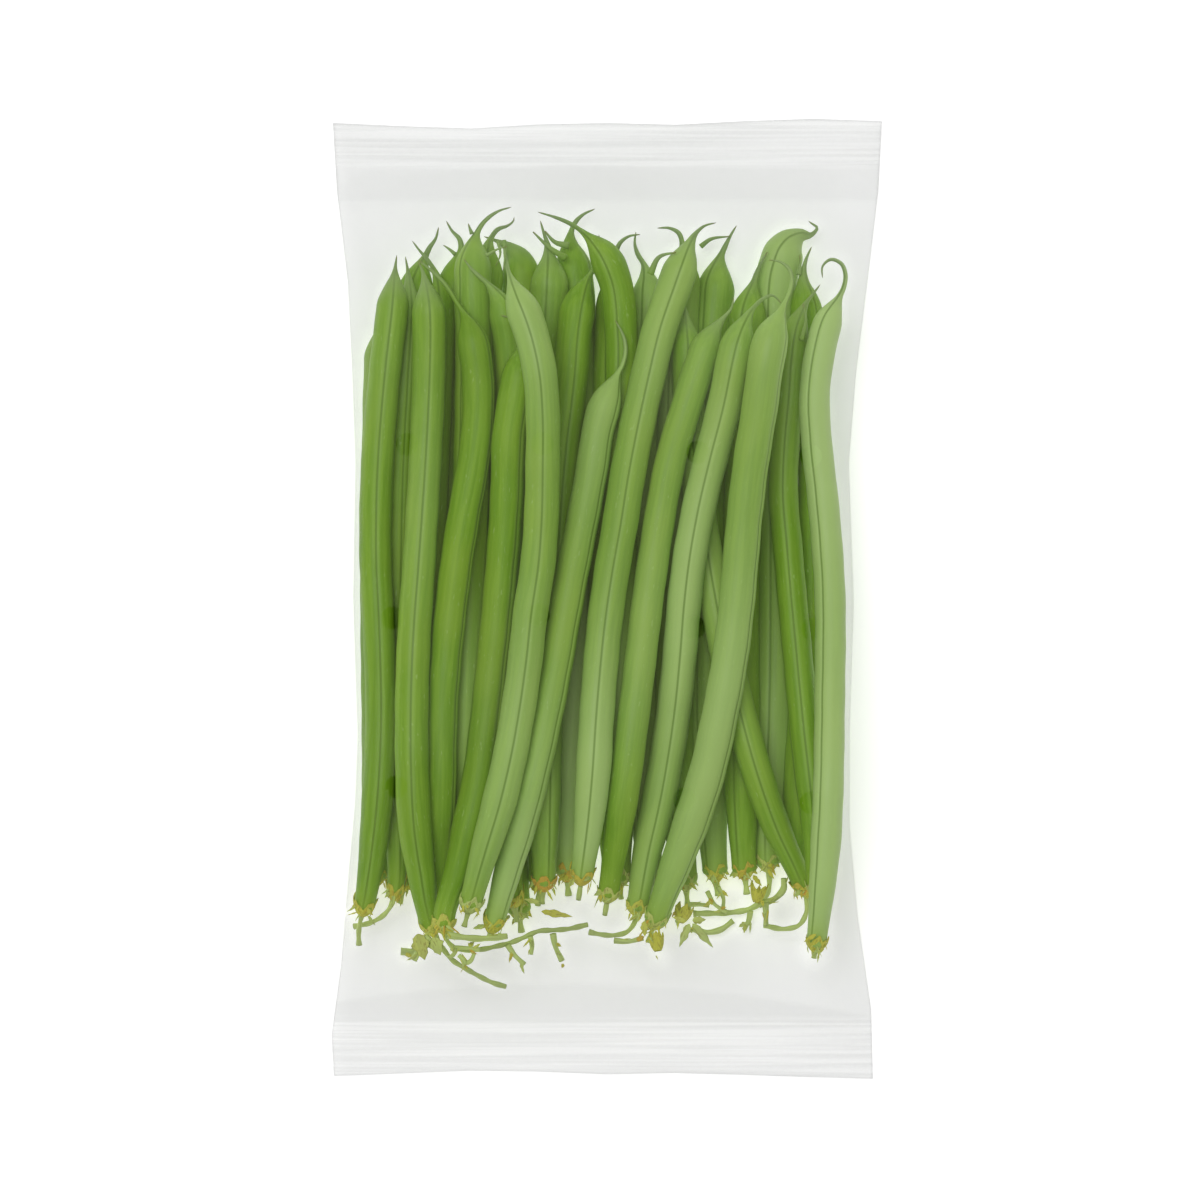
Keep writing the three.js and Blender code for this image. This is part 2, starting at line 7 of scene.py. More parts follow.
import bpy
import numpy as np
from bpy.props import FloatProperty, FloatVectorProperty, PointerProperty
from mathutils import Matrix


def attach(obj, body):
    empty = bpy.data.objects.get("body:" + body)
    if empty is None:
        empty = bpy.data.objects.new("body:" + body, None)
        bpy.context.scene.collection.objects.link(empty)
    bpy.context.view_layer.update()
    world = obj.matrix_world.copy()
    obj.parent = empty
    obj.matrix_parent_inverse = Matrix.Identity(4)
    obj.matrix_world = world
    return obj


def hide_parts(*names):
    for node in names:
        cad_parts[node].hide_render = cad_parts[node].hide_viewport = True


bl_info = {
    "name": "Bagged green beans",
    "version": (1, 0, 0),
    "blender": (4, 5, 0),
    "location": "3D View > Sidebar > Beans",
    "description": "Green beans with tails, calyxes and stalks in a vented clear film bag",
    "category": "Object",
}

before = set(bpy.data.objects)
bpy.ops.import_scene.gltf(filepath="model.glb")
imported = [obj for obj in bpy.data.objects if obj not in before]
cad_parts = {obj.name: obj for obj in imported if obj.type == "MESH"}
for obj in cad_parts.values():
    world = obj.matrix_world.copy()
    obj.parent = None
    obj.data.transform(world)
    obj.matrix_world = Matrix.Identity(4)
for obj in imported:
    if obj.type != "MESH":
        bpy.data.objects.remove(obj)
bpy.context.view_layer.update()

MM = 0.001

# Heights up the bag and its half widths there, to the left and to the right of its middle
LEFT_EDGE = [(-105.2, 60.4), (-96, 60.9), (-80, 58.7), (-60, 57), (-45, 55.6), (-30, 55), (0, 56),
             (30, 55.5), (50, 56.2), (70, 57.2), (90, 59.7), (105.2, 60.6)]
RIGHT_EDGE = [(-105.2, 58.6), (-90, 58.2), (-70, 55.2), (-50, 53.4), (-30, 53.4), (0, 54.3),
              (30, 53.2), (50, 54.8), (70, 57.3), (90, 59.8), (105.2, 60.6)]

# How far the cut edges stray from level, at even steps across the bag
TOP_WAVE = [0, -0.7, -1.2, -0.3, 0, -0.4, 0.4, 0.9, 0.4]
BOTTOM_WAVE = [0, 0.6, 1.2, 1, 0.4, 0.7, 0.3, -0.2, -0.6]

# Heights up the bag of its cut edges and of the seals' inner edges
BAG_END = 105.2
TOP_SEAL = 95.6
BOTTOM_SEAL = -94.7

# Where the weld's marks start and are full, and the two bands of painted shade where the film bends
# towards the seals: one with a straight edge below the top seal, one with an arched edge above the
# bottom seal
TOP_WELD = (TOP_SEAL - 1, TOP_SEAL + 0.5)
BOTTOM_WELD = (-91.7, -93.2)
TOP_SHADE_BAND = (87, 89)
ARCH_LEVEL = -84
ARCH_MIDDLE = -10
ARCH_BEND = 0.0016
ARCH_BLUR = 1.6

# Levels of the seals and of the side folds above the floor, how far from a seal a fold rises, and
# how far past a seal the waves of its cut edge fade out
SEAL_LEVEL = 6
FOLD_LEVEL = 11
FOLD_RISE = 30
WAVE_FADE = 20

# Middles of the round vents in the front film and in the back film
FRONT_VENTS = [(-43.9, 34), (-47.2, -4), (-46.2, -41), (-14.2, 34), (-15.1, -3.4), (-16.4, -41.9),
               (19.7, 32.2), (19, -6.1), (16.8, -43.7), (44.6, 31.5), (45, -6.5), (44.6, -44.5)]
BACK_VENTS = [(-30, 34), (-30, -4), (-30, -42), (31, 33), (31, -5), (31, -43)]

# Where a pod's seam lies, in degrees from its left side over its top, and its tones at the tail and
# at the stalk, from -1, dark, to 1, pale; the other pods get theirs by chance. bean_back_07's palest
# stalk end is painted light, lifting the shade it lies in
SEAM_AND_TONES = {
    "bean_front_01": (90, 0.1, 0),
    "bean_front_02": (150, -0.2, -0.1),
    "bean_front_03": (88, 0.1, -0.2),
    "bean_front_04": (92, 0.3, -0.1),
    "bean_front_05": (139, -0.1, -0.2),
    "bean_front_06": (136, 0.4, 0.5),
    "bean_front_07": (90, 0.5, 0.3),
    "bean_front_08": (2, 0.5, 0.1),
    "bean_front_09": (88, 0.3, 0.6),
    "bean_front_10": (92, 0.5, 0.6),
    "bean_front_11": (60, 1.1, 0.6),
    "bean_front_12": (148, 0.5, 0.5),
    "bean_middle_07": (90, 0.3, 0.2),
    "bean_back_07": (150, 0.2, 1),
    "bean_back_13": (75, 0.5, 0.3),
}

# Tones of the calyxes, from -1, green, to 1, orange; the other pods get theirs by chance
CALYX_TONES = {
    "bean_front_09": 0.6, "bean_back_07": 0.7, "bean_middle_05": 0.75, "bean_middle_07": 0.6,
    "bean_back_12": 0.65, "bean_middle_01": 0.55,
}

# Loose lengths of stalk among the stalk ends: radius, then the middle line seen from above
STALKS = [
    (0.7, [(-35, -73.5), (-28, -74.3), (-22, -73.8)]),
    (0.55, [(-22, -75.8), (-20.5, -78), (-18.3, -80.2)]),
    (0.6, [(-12, -73.5), (-11.4, -76.5), (-10, -79.5)]),
    (0.5, [(-17, -74), (-16.6, -76.2), (-16.8, -78)]),
    (0.7, [(-45.7, -77.8), (-43.4, -77.9), (-41, -77.5)]),
    (0.65, [(18.6, -72.6), (22, -73.6), (25, -73), (27.8, -71)]),
    (0.7, [(33.4, -67.2), (37, -65.8), (38.8, -63.6), (38.8, -61.4)]),
    (0.55, [(31.6, -68.8), (31.2, -71), (30.2, -73)]),
    (0.6, [(34.8, -66.8), (34.9, -69.5), (34.9, -71.8)]),
    (0.5, [(17.4, -67.4), (20, -67.3), (22.4, -67.6)]),
    (0.55, [(1.5, -75), (4.5, -75.2), (7.8, -74.4)]),
    (0.5, [(-34.4, -76.4), (-31, -76.4), (-28, -76.8)]),
    (0.4, [(-34.8, -78.6), (-33.6, -77.6), (-33.4, -76.4)]),
    (0.45, [(-31.6, -79.8), (-30.2, -79.4), (-29.2, -77.6)]),
    (0.4, [(-32.6, -78), (-31.4, -79.4), (-31.6, -80.6)]),
    (0.45, [(24.4, -63.4), (25.6, -66), (25.4, -68.8)]),
    (0.45, [(22, -64.4), (23.6, -67.2), (26.4, -69)]),
    (0.7, [(-39, -74), (-41, -76.4), (-42.5, -79)]),
]

# Tails whose pods are hidden, and shreds of dried blossom: radius at the root, then the line from it
TAILS = [
    (0.8, [(-9.2, 75.2), (-12.6, 77.4), (-16.4, 81)]),
    (0.8, [(-8.6, 78), (-11.6, 78.8), (-13.8, 81.2)]),
    (0.6, [(20.6, 78), (22.6, 79.5), (27, 80.2)]),
    (0.8, [(9.4, 71.5), (11.4, 75.2), (15, 76.2)]),
    (0.5, [(-33.6, 76.2), (-35, 77.4), (-36.2, 78.2)]),
    (0.5, [(-29.8, 80.4), (-30.2, 81.4), (-30.6, 82.6)]),
    (0.5, [(42.2, 71.6), (42.5, 73.8), (42.4, 76)]),
    (0.6, [(42.6, 57), (43.6, 61.5), (43, 65)]),
    (0.4, [(-24.2, 79), (-23.6, 76), (-24.6, 73.5)]),
    (0.45, [(-22.6, 78.6), (-22.4, 75.5), (-22.8, 72)]),
    (0.4, [(-26.5, 75.2), (-24, 76.6), (-22, 77.2)]),
]

# Loose calyxes: radius, the way they open seen from above in degrees, and place
HUSKS = [(1.4, 100, (10.7, -74.9)), (1.7, 75, (16.6, -69)), (1.6, 80, (33.2, -64.4))]

# Single withered sepals: root, point, width, curl and tone, from -1, green, to 1, orange
SEPALS = [
    ((-41.6, -73.2), (-40, -79), 1.9, 0.1, -0.5), ((-38.2, -74), (-36.6, -78), 1.6, -0.1, -0.7),
    ((18, -71), (15.7, -76.2), 0.9, 0.05, -0.8), ((18.6, -71), (23.2, -76.4), 0.9, -0.1, -0.8),
    ((17.2, -70.6), (14.2, -69.6), 0.6, 0.1, -0.3), ((18.6, -70.4), (21.6, -70.2), 0.9, 0.1, -0.6),
    ((45.8, -73.4), (43, -75.2), 0.5, 0.1, 0.1), ((8, -70.6), (8.2, -74), 0.8, 0.1, -0.2),
    ((-15, -66.6), (-18.4, -65.8), 0.6, 0.1, -0.6), ((-14.6, -68.6), (-7.6, -69.8), 0.8, 0, 0),
]

# How many more there are round each neck and along each loose stalk, and the seed of their draws
SEPALS_A_NECK = 9
SEPALS_A_STALK = 3
SEPAL_SEED = 5

# Points round every pod, stalk and calyx, and how far they crowd towards a pod's seams
AROUND = 40
SEAM_CROWDING = 0.6

# Widths of the broad hollow and of the narrow nick at a seam, in radians round the pod
HOLLOW_WIDTH = 0.42
NICK_WIDTH = 0.11

# Rings along a pod: spacing in the tail and at the neck, and number in the stretch between them,
# which starts TAIL_LENGTH from the tip and ends NECK_LENGTH before the calyx
TAIL_PITCH = 0.7
NECK_PITCH = 0.6
POD_RINGS = 75
TAIL_LENGTH = 22
NECK_LENGTH = 4

# Where a pod's seams and seeds fade in, from its tip, and fade out, from its neck
FADE_IN = (8, 18)
FADE_OUT = (-9, 0.5)

# Radii at a pod's ends, and shares of the radius by which seeds and slow waves swell it
TIP_RADIUS = 0.14
LEAST_RADIUS = 0.12
NECK_RADIUS = 1.0
CUT_FLARE = 1.15
SEED_SWELLING = 0.013
SLOW_SWELLING = 0.01

# A calyx: rings on each side of its wall, lobes, length on the stalk's side of the neck, thickness
# of the wall, and how far from the neck it may reach along the pod and outwards
CALYX_RINGS = 9
CALYX_LOBES = 5
CALYX_LENGTH = 2.4
CALYX_WALL = 0.16
CALYX_REACH = 3
CALYX_ROOM = 0.6

# A sepal's rows, points round it, half thickness, the room it takes up, and its height over what
# it lies on
SEPAL_ROWS = 9
SEPAL_AROUND = 10
SEPAL_POINTS = SEPAL_ROWS * SEPAL_AROUND
SEPAL_THICKNESS = 0.1
SEPAL_ROOM = 0.4
SEPAL_HEIGHT = 0.6

# Loose stalks: spacing of their rings, air under them, level of the film under them, their steepest
# fall, and how often and how far they settle between two supports
STALK_PITCH = 0.5
CLEARANCE = 0.1
FILM_UNDER = 0.7
STEEPEST_FALL = 0.2
SAG_SWEEPS = 400
SAG_STEP = 0.01

# Loose calyxes: how far their middle line runs out of the open side and along the stalk's, its
# points, and how many of these lie past the rim
HUSK_OPEN_SIDE = 4.0
HUSK_STALK_SIDE = 3.5
HUSK_POINTS = 16
HUSK_PAST_RIM = 3
HUSK_TONE = 0.4

# Distances given to what has no tip or neck near it, to what is all stalk, and to what has no seam
FAR = 99
PAST_NECK = -5
NO_SEAM = 2.0

# The film's grid, the sweeps that pull it taut and that blur what it covers, its half thickness in
# the seals, how far past them that fades out, and its height over the floor
FILM_COLUMNS = 153
FILM_ROWS = 240
TOP_SEAL_ROWS = 13
BOTTOM_SEAL_ROWS = 14
FILM_SWEEPS = 3000
COVER_SWEEPS = 5
PLY = 0.12
PLY_FADE = 1.5
FLOOR_GAP = 0.05

# A level past all others, and how the film feels for the pods: the spacing of points on a pod's
# middle line, and how many rows and columns of the grid are looked at on each side of a point
NO_LIMIT = 1e3
FEEL_PITCH = 0.45
FEEL_REACH = 8

# Half side and level of the floor in millimetres, and the point under the camera in metres
FLOOR_HALF = 1500
FLOOR_LEVEL = -0.3
VIEW_MIDDLE = (-0.00165, -0.0001, 0.014)

# Sockets of the mixing node, which share their names: share, two colours and the mixed colour
MIX_SHARE, MIX_FIRST, MIX_SECOND, MIX_RESULT = 0, 6, 7, 2

# Filled while the steps run: middle line and radii of each laid piece, and point, way on and radius
# of each pod's neck
laid = []
necks = []


def srgb(red, green, blue):
    """Linear colour of a screen colour: a power curve of each share of 255."""
    return tuple(((c / 255 + 0.055) / 1.055) ** 2.4 for c in (red, green, blue))


def colour_setting(name, description, colour):
    return FloatVectorProperty(name=name, description=description, default=colour, size=3,
                               subtype="COLOR", min=0, max=1)


def number_setting(name, description, value, low, high, **kind):
    return FloatProperty(name=name, description=description, default=value, min=low, max=high, **kind)


def share_setting(name, description, share, high=1):
    return number_setting(name, description, share, 0, high, subtype="FACTOR")


def length_setting(name, description, metres, low, high):
    return number_setting(name, description, metres, low, high, subtype="DISTANCE", unit="LENGTH")


class BeanSettings(bpy.types.PropertyGroup):
    """Sizes and colours of the pods and stalks."""

    pod_green: colour_setting("Pod", "Main green of the pods", srgb(115, 161, 22))
    pod_light: colour_setting("Streaks", "Lighter green streaks along the pods", srgb(132, 176, 40))
    pod_yellow: colour_setting("Patches", "Yellower patches and stalk ends", srgb(149, 183, 52))
    pod_pale: colour_setting("Pale pods", "Colour that the palest pods lean to", srgb(195, 224, 144))
    tail: colour_setting("Tails", "Grey-green of the tails", srgb(151, 176, 113))
    dry: colour_setting("Dry", "Brown of dried tips and husks", srgb(137, 115, 57))
    stalk: colour_setting("Stalks", "Yellow-green of the stalks", srgb(208, 228, 134))
    calyx: colour_setting("Calyx", "Straw colour of the calyxes", srgb(207, 205, 78))
    calyx_orange: colour_setting("Calyx spots", "Orange of the withered calyxes", srgb(217, 154, 64))
    back_width: number_setting("Back width", "Sideways stretch of the back pods", 1.15, 1, 1.3)
    seam_depth: share_setting("Seam depth", "Depth of a pod's seams, of its radius", 0.038, 0.2)
    seed_pitch: length_setting("Seed pitch", "From one seed to the next in a pod", 0.0105, 0.004, 0.03)
    roughness: share_setting("Roughness", "Roughness of the pods' skin", 0.5)


class FilmSettings(bpy.types.PropertyGroup):
    """Sizes and colours of the bag."""

    tint: colour_setting("Film", "Colour of the film's faint veil", srgb(158, 161, 158))
    bright: colour_setting("Lit film", "Colour of the veil where pods shine on it", (0.7, 0.86, 0.36))
    veil: share_setting("Veil", "How much the film hides over the pods", 0.045)
    bare_veil: share_setting("Bare veil", "How much more it hides beside the pods", 0.1)
    # the bands are painted shade where the film bends towards the seals
    shade_band_veil: share_setting("Band veil", "How much more the dull bands hide", 0.03)
    roughness: share_setting("Roughness", "Roughness of the film", 0.2)
    gap: length_setting("Gap", "Distance from the pods to the film", 0.0002, 0, 0.002)
    vent_radius: length_setting("Vent radius", "Radius of the round vents", 0.0025, 0.001, 0.005)


class StageSettings(bpy.types.PropertyGroup):
    """Camera, lights and floor."""

    view_width: length_setting("View width", "Width of the view at the bag's middle", 0.264, 0.1, 1)
    distance: length_setting("Camera distance", "From the bag's middle to the camera", 2.5, 0.5, 5)
    floor: colour_setting("Floor", "Colour of the floor", (0.93, 0.93, 0.93))
    glow: number_setting("Glow", "Light that the floor itself gives", 0.5, 0, 2)
    dome: number_setting("Dome", "Strength of the light from all round", 0.34, 0, 5)
    lamp: number_setting("Lamp", "Power of the large lamp overhead", 16, 0, 500,
                         subtype="POWER", unit="POWER")


class Field:
    """An output socket that does arithmetic: each expression on fields adds its Math nodes."""

    def __init__(self, finish, socket):
        self.finish = finish
        self.socket = socket

    def _math(self, operation, first, second):
        return self.finish.add("ShaderNodeMath", {"operation": operation}, {0: first, 1: second})

    def __add__(self, other):
        return self._math("ADD", self, other)

    def __sub__(self, other):
        return self._math("SUBTRACT", self, other)

    def __rsub__(self, other):
        return self._math("SUBTRACT", other, self)

    def __mul__(self, other):
        return self._math("MULTIPLY", self, other)

    __radd__ = __add__
    __rmul__ = __mul__

    def span(self, low, high, to_low=0.0, to_high=1.0):
        """This value from low to high, turned smoothly into to_low to to_high and held outside."""
        sockets = {"From Min": low, "From Max": high, "To Min": to_low, "To Max": to_high}
        return self.finish.add("ShaderNodeMapRange", {"interpolation_type": "SMOOTHSTEP"},
                               {"Value": self, **sockets})


class Finish:
    """A material under construction."""

    def __init__(self, name):
        self.material = bpy.data.materials.new(name)
        self.material.use_nodes = True
        self.tree = self.material.node_tree
        self.tree.nodes.clear()

    def add(self, kind, settings=None, sockets=None, output=0):
        """Adds a node of any kind: first its settings, then the values or links of its sockets."""
        node = self.tree.nodes.new(kind)
        for key, value in (settings or {}).items():
            setattr(node, key, value)
        for key, value in (sockets or {}).items():
            if isinstance(value, Field):
                self.tree.links.new(value.socket, node.inputs[key])
            else:
                node.inputs[key].default_value = value
        return Field(self, node.outputs[output]) if len(node.outputs) else None

    def carried(self, name):
        """A number that the mesh carries at each vertex."""
        return self.add("ShaderNodeAttribute", {"attribute_name": name}, output="Fac")

    def scaled(self, place, scale):
        """A place times the scale of each axis, which is a pattern's cells for each metre."""
        return self.add("ShaderNodeMapping", sockets={"Vector": place, "Scale": scale})

    def noise(self, place, detail=3.0, roughness=0.5):
        sockets = {"Vector": place, "Scale": 1.0, "Detail": detail, "Roughness": roughness}
        return self.add("ShaderNodeTexNoise", sockets=sockets)

    def mix(self, share, first, second):
        """Two colours mixed by share."""
        colours = [c if isinstance(c, Field) else (*c, 1.0) for c in (first, second)]
        sockets = {MIX_SHARE: share, MIX_FIRST: colours[0], MIX_SECOND: colours[1]}
        return self.add("ShaderNodeMix", {"data_type": "RGBA"}, sockets, output=MIX_RESULT)

    def bump(self, height, strength, distance):
        sockets = {"Height": height, "Strength": strength, "Distance": distance}
        return self.add("ShaderNodeBump", sockets=sockets)

    def surface(self, **sockets):
        """Ends the material with one Principled shader; spaces in socket names are underscores."""
        named = {key.replace("_", " "): value for key, value in sockets.items()}
        shader = self.add("ShaderNodeBsdfPrincipled", sockets=named)
        self.add("ShaderNodeOutputMaterial", sockets={"Surface": shader})
        return self.material


def shade(colour, factor):
    return tuple(factor * c for c in colour)


def bean_finish(looks):
    """Pod, tail, calyx and stalk in one finish, told apart by distances that the mesh carries.

    The patterns lie in the pod's own straightened space, whose last axis runs along the pod, so
    streaks run along every pod. Distances from tip, neck and seam are millimetres.
    """
    finish = Finish("bean_skin")
    straight = finish.add("ShaderNodeAttribute", {"attribute_name": "straight"}, output="Vector")
    tip = finish.carried("from_tip")
    neck = finish.carried("from_neck")
    seam = finish.carried("from_seam")
    tone = finish.carried("tone")
    cup = finish.carried("cup")

    streaks = finish.noise(finish.scaled(straight, (900, 900, 45)), 4.0, 0.6)
    patches = finish.noise(finish.scaled(straight, (90, 90, 34)), 2.0)
    flecks = finish.noise(finish.scaled(straight, (1500, 1500, 500)), 2.0)
    fine = finish.noise(finish.scaled(straight, (2600, 2600, 900)))

    green = finish.mix(streaks.span(0.36, 0.66), looks.pod_green, looks.pod_light)
    dark_green = shade(looks.pod_green, 0.5)
    for share, colour in (
        (patches.span(0.42, 0.7, 0.0, 0.5), looks.pod_yellow),
        ((0 - tone).span(0.0, 1.0, 0.0, 0.8), dark_green),
        (tone.span(0.0, 1.0, 0.0, 0.85), looks.pod_pale),
        (flecks.span(0.66, 0.75, 0.0, 0.25), looks.pod_pale),
        # pale band 0.4 to 1.2 mm either side of each seam: a painted highlight on the ridges beside
        # the seam's groove
        (seam.span(0.4, 1.2, 0.1, 0.0), looks.pod_pale),
        (seam.span(0.1, 0.36, 0.62, 0.0), dark_green),
        (tip.span(3.0, 13.0, 0.75, 0.0), looks.tail),
        (tip.span(0.1, 1.6, 0.5, 0.0), looks.dry),
        (neck.span(-0.5, 8.0, 0.5, 0.0), looks.pod_yellow),
    ):
        green = finish.mix(share, green, colour)

    stalk = finish.mix(streaks.span(0.3, 0.7), looks.stalk, shade(looks.stalk, 0.7))
    green = finish.mix(neck.span(-1.4, -0.4, 1.0, 0.0), green, stalk)
    husk = finish.mix(tone.span(-1.0, 0.2), stalk, looks.calyx)
    husk = finish.mix(tone.span(0.45, 0.9, 0.0, 0.85), husk, looks.calyx_orange)
    husk = finish.mix(fine.span(0.52, 0.7, 0.0, 0.6), husk, looks.dry)
    colour = finish.mix(cup, green, husk)

    rough = streaks.span(0.3, 0.7, looks.roughness - 0.07, looks.roughness + 0.07) + cup * 0.3
    relief = streaks * 0.5 + fine * 0.35 + patches * 0.8
    return finish.surface(Base_Color=colour, Roughness=rough, Specular_IOR_Level=0.3,
                          Normal=finish.bump(relief, 0.3, 0.0003))


def bean_material():
    """The one finish that the beans and all loose bits of them share."""
    return bpy.data.materials.get("bean_skin") or bean_finish(bpy.context.scene.bean_looks)


def film_finish(looks):
    """Clear film with a faint milky veil, stronger beside the pods, in bands of painted shade and edge
    on.
    """
    finish = Finish("clear_film")
    place = finish.add("ShaderNodeTexCoord", output="Object")
    weld = finish.carried("weld")
    # two bands of painted shade where the film bends towards the seals, made by a thicker veil there
    shade_band = finish.carried("shade_band")
    # bare is blurred at the pods' edges, so the veil thins in a soft rim round them: painted light
    # that lifts the shade the pods cast on the floor
    bare = finish.carried("bare")
    soft = finish.noise(finish.scaled(place, (14, 26, 14)), 2.0)
    crimp = finish.noise(finish.scaled(place, (16, 900, 16)), 2.0)
    creases = finish.noise(finish.scaled(place, (90, 130, 90)))
    # edge on, the veil thickens: a painted reflection standing in for the film's stronger gloss at
    # grazing angles
    edge_on = finish.add("ShaderNodeLayerWeight", sockets={"Blend": 0.35}, output="Facing")
    veil = soft.span(0.35, 0.65, looks.veil - 0.008, looks.veil + 0.008) + edge_on * 0.06
    veil = veil + bare * looks.bare_veil + shade_band * looks.shade_band_veil
    veil = veil + weld * crimp.span(0.35, 0.65, -0.03, 0.02)
    relief = weld * crimp + creases * 0.12
    tint = finish.mix(bare.span(0.0, 0.35), looks.bright, looks.tint)
    return finish.surface(Base_Color=tint, Roughness=looks.roughness, Alpha=veil,
                          Normal=finish.bump(relief, 0.35, 0.0004))


def floor_finish(looks):
    """Plain pale sheet on a light table, a little uneven."""
    finish = Finish("studio_floor")
    place = finish.add("ShaderNodeTexCoord", output="Object")
    grain = finish.noise(finish.scaled(place, (3, 3, 3)), 2.0)
    colour = finish.mix(grain.span(0.3, 0.7), looks.floor, shade(looks.floor, 0.99))
    return finish.surface(Base_Color=colour, Roughness=0.9, Emission_Color=(1, 1, 1, 1),
                          Emission_Strength=looks.glow)


def make_mesh(name, points, faces, material, numbers=None, vectors=None):
    """A smooth mesh object from millimetre points, blocks of faces and what its vertices carry."""
    mesh = bpy.data.meshes.new(name)
    all_faces = [face for block in faces for face in block.tolist()]
    mesh.from_pydata((points * MM).tolist(), [], all_faces)
    for key, values in (numbers or {}).items():
        column = values.astype(np.float32)
        mesh.attributes.new(key, "FLOAT", "POINT").data.foreach_set("value", column)
    for key, values in (vectors or {}).items():
        flat = values.astype(np.float32).reshape(-1)
        mesh.attributes.new(key, "FLOAT_VECTOR", "POINT").data.foreach_set("vector", flat)
    mesh.polygons.foreach_set("use_smooth", np.ones(len(mesh.polygons), bool))
    mesh.materials.append(material)
    mesh.update()
    made = bpy.data.objects.new(name, mesh)
    bpy.context.scene.collection.objects.link(made)
    return made


def solid_line(node):
    """Middle points and radii of a bean's solid, from its tail tip to its cut end, and its calyx.

    The solid is a stack of rings with one point at each end, so counting edges from the middle of
    the cut end numbers the rings, and each ring's mean point lies on the middle line. The calyx is
    the ring whose points differ most in their distance from its middle.
    """
    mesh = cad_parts[node].data
    points = np.empty(len(mesh.vertices) * 3)
    mesh.vertices.foreach_get("co", points)
    corners = np.empty(len(mesh.loops), int)
    mesh.loops.foreach_get("vertex_index", corners)
    keys, same = np.unique(np.round(points.reshape(-1, 3) / MM, 3), axis=0, return_inverse=True)
    triangles = same.reshape(-1)[corners].reshape(-1, 3)
    edges = np.concatenate([triangles[:, [0, 1]], triangles[:, [1, 2]], triangles[:, [2, 0]]])
    total = np.zeros((len(keys), 3))
    count = np.zeros(len(keys))
    np.add.at(total, edges[:, 0], keys[edges[:, 1]])
    np.add.at(count, edges[:, 0], 1)
    level = np.full(len(keys), -1)
    level[np.argmin(np.linalg.norm(total / count[:, None] - keys, axis=1))] = 0
    ring = 0
    while (level < 0).any():
        reached = edges[level[edges[:, 0]] == ring, 1]
        level[reached[level[reached] < 0]] = ring + 1
        ring += 1
    rings = [keys[level == r] for r in range(ring, 0, -1)]
    middle = np.array([r.mean(axis=0) for r in rings])
    spread = [np.linalg.norm(r - m, axis=1) for r, m in zip(rings, middle)]
    return middle, np.array([s.mean() for s in spread]), int(np.argmax([s.std() for s in spread]))


def distances(line):
    """Distance along a line from its first point to each of its points."""
    return np.concatenate([[0], np.cumsum(np.linalg.norm(np.diff(line, axis=0), axis=1))])


def curve(places, rows, at):
    """Cubic Hermite curve through rows at places, with slopes from the neighbouring rows."""
    step = np.diff(places)[:, None]
    chord = np.diff(rows, axis=0) / step
    inner = (chord[:-1] * step[1:] + chord[1:] * step[:-1]) / (step[1:] + step[:-1])
    slope = np.vstack([chord[:1], inner, chord[-1:]])
    i = np.clip(np.searchsorted(places, at, side="right") - 1, 0, len(places) - 2)
    t = ((at - places[i]) / step[i, 0])[:, None]
    ends = (2 * t**3 - 3 * t**2 + 1) * rows[i] + (3 * t**2 - 2 * t**3) * rows[i + 1]
    return ends + step[i] * ((t**3 - 2 * t**2 + t) * slope[i] + (t**3 - t**2) * slope[i + 1])


def ease(low, high, at):
    """Smooth step from 0 at low to 1 at high."""
    share = np.clip((at - low) / (high - low), 0, 1)
    return share * share * (3 - 2 * share)


def cross_axes(line):
    """At each point of a line, the level direction across it and the direction above it."""
    ahead = np.gradient(line, axis=0)
    ahead /= np.linalg.norm(ahead, axis=1, keepdims=True)
    side = np.cross(ahead, [0, 0, 1.0])
    side /= np.linalg.norm(side, axis=1, keepdims=True)
    return side, np.cross(side, ahead)


def grid_faces(rows, columns, closed_rows=False):
    """Quads of a grid whose columns close on themselves, and its rows too if asked."""
    down = rows if closed_rows else rows - 1
    r, c = np.meshgrid(np.arange(down), np.arange(columns), indexing="ij")
    row = r * columns
    below = (r + 1) % rows * columns
    beside = (c + 1) % columns
    return np.stack([row + c, below + c, below + beside, row + beside], -1).reshape(-1, 4)


def tube(line, radius, turn=0.0, groove=0.0, depth=0.0, wide=1.0):
    """A tube with both ends closed: points, faces, distance from a seam, and straightened place.

    Point (row, u) lies at the line's point plus the radius in the direction angle + turn, where
    angle = 2 pi u - k/2 sin(4 pi u) crowds the points towards two opposite seams. The radius is cut
    by a broad hollow and a narrow nick at each seam, both bell curves of the angle from it, and the
    whole is stretched sideways by wide.
    """
    side, above = cross_axes(line)
    side = side * wide
    u = np.arange(AROUND) / AROUND
    angle = 2 * np.pi * u - 0.5 * SEAM_CROWDING * np.sin(4 * np.pi * u)
    gap = np.abs(np.arcsin(np.sin(angle)))
    hollow = 0.5 * np.exp(-((gap / HOLLOW_WIDTH) ** 2)) + np.exp(-((gap / NICK_WIDTH) ** 2))
    reach = radius[:, None] * (1 - np.asarray(groove).reshape(-1, 1) * depth * hollow)
    theta = angle + np.asarray(turn).reshape(-1, 1)
    rims = line[:, None] + side[:, None] * (reach * np.cos(theta))[..., None]
    rims = rims + above[:, None] * (reach * np.sin(theta))[..., None]
    along = distances(line)
    beyond = along[:, None] + 0 * reach
    spread = np.stack([reach * np.cos(angle), reach * np.sin(angle), beyond], -1)
    points = np.vstack([rims.reshape(-1, 3), line[:1], line[-1:]])
    ends = np.array([[0, 0, 0], [0, 0, along[-1]]])
    straight = np.vstack([spread.reshape(-1, 3), ends])
    from_seam = np.concatenate([(gap * radius[:, None]).reshape(-1), [0, 0]])
    here = np.arange(AROUND)
    after = (here + 1) % AROUND
    last = (len(line) - 1) * AROUND
    tip = np.full(AROUND, len(points) - 2)
    caps = [np.stack([tip, here, after], -1), np.stack([last + here, tip + 1, last + after], -1)]
    return points, [grid_faces(len(line), AROUND), *caps], from_seam, straight


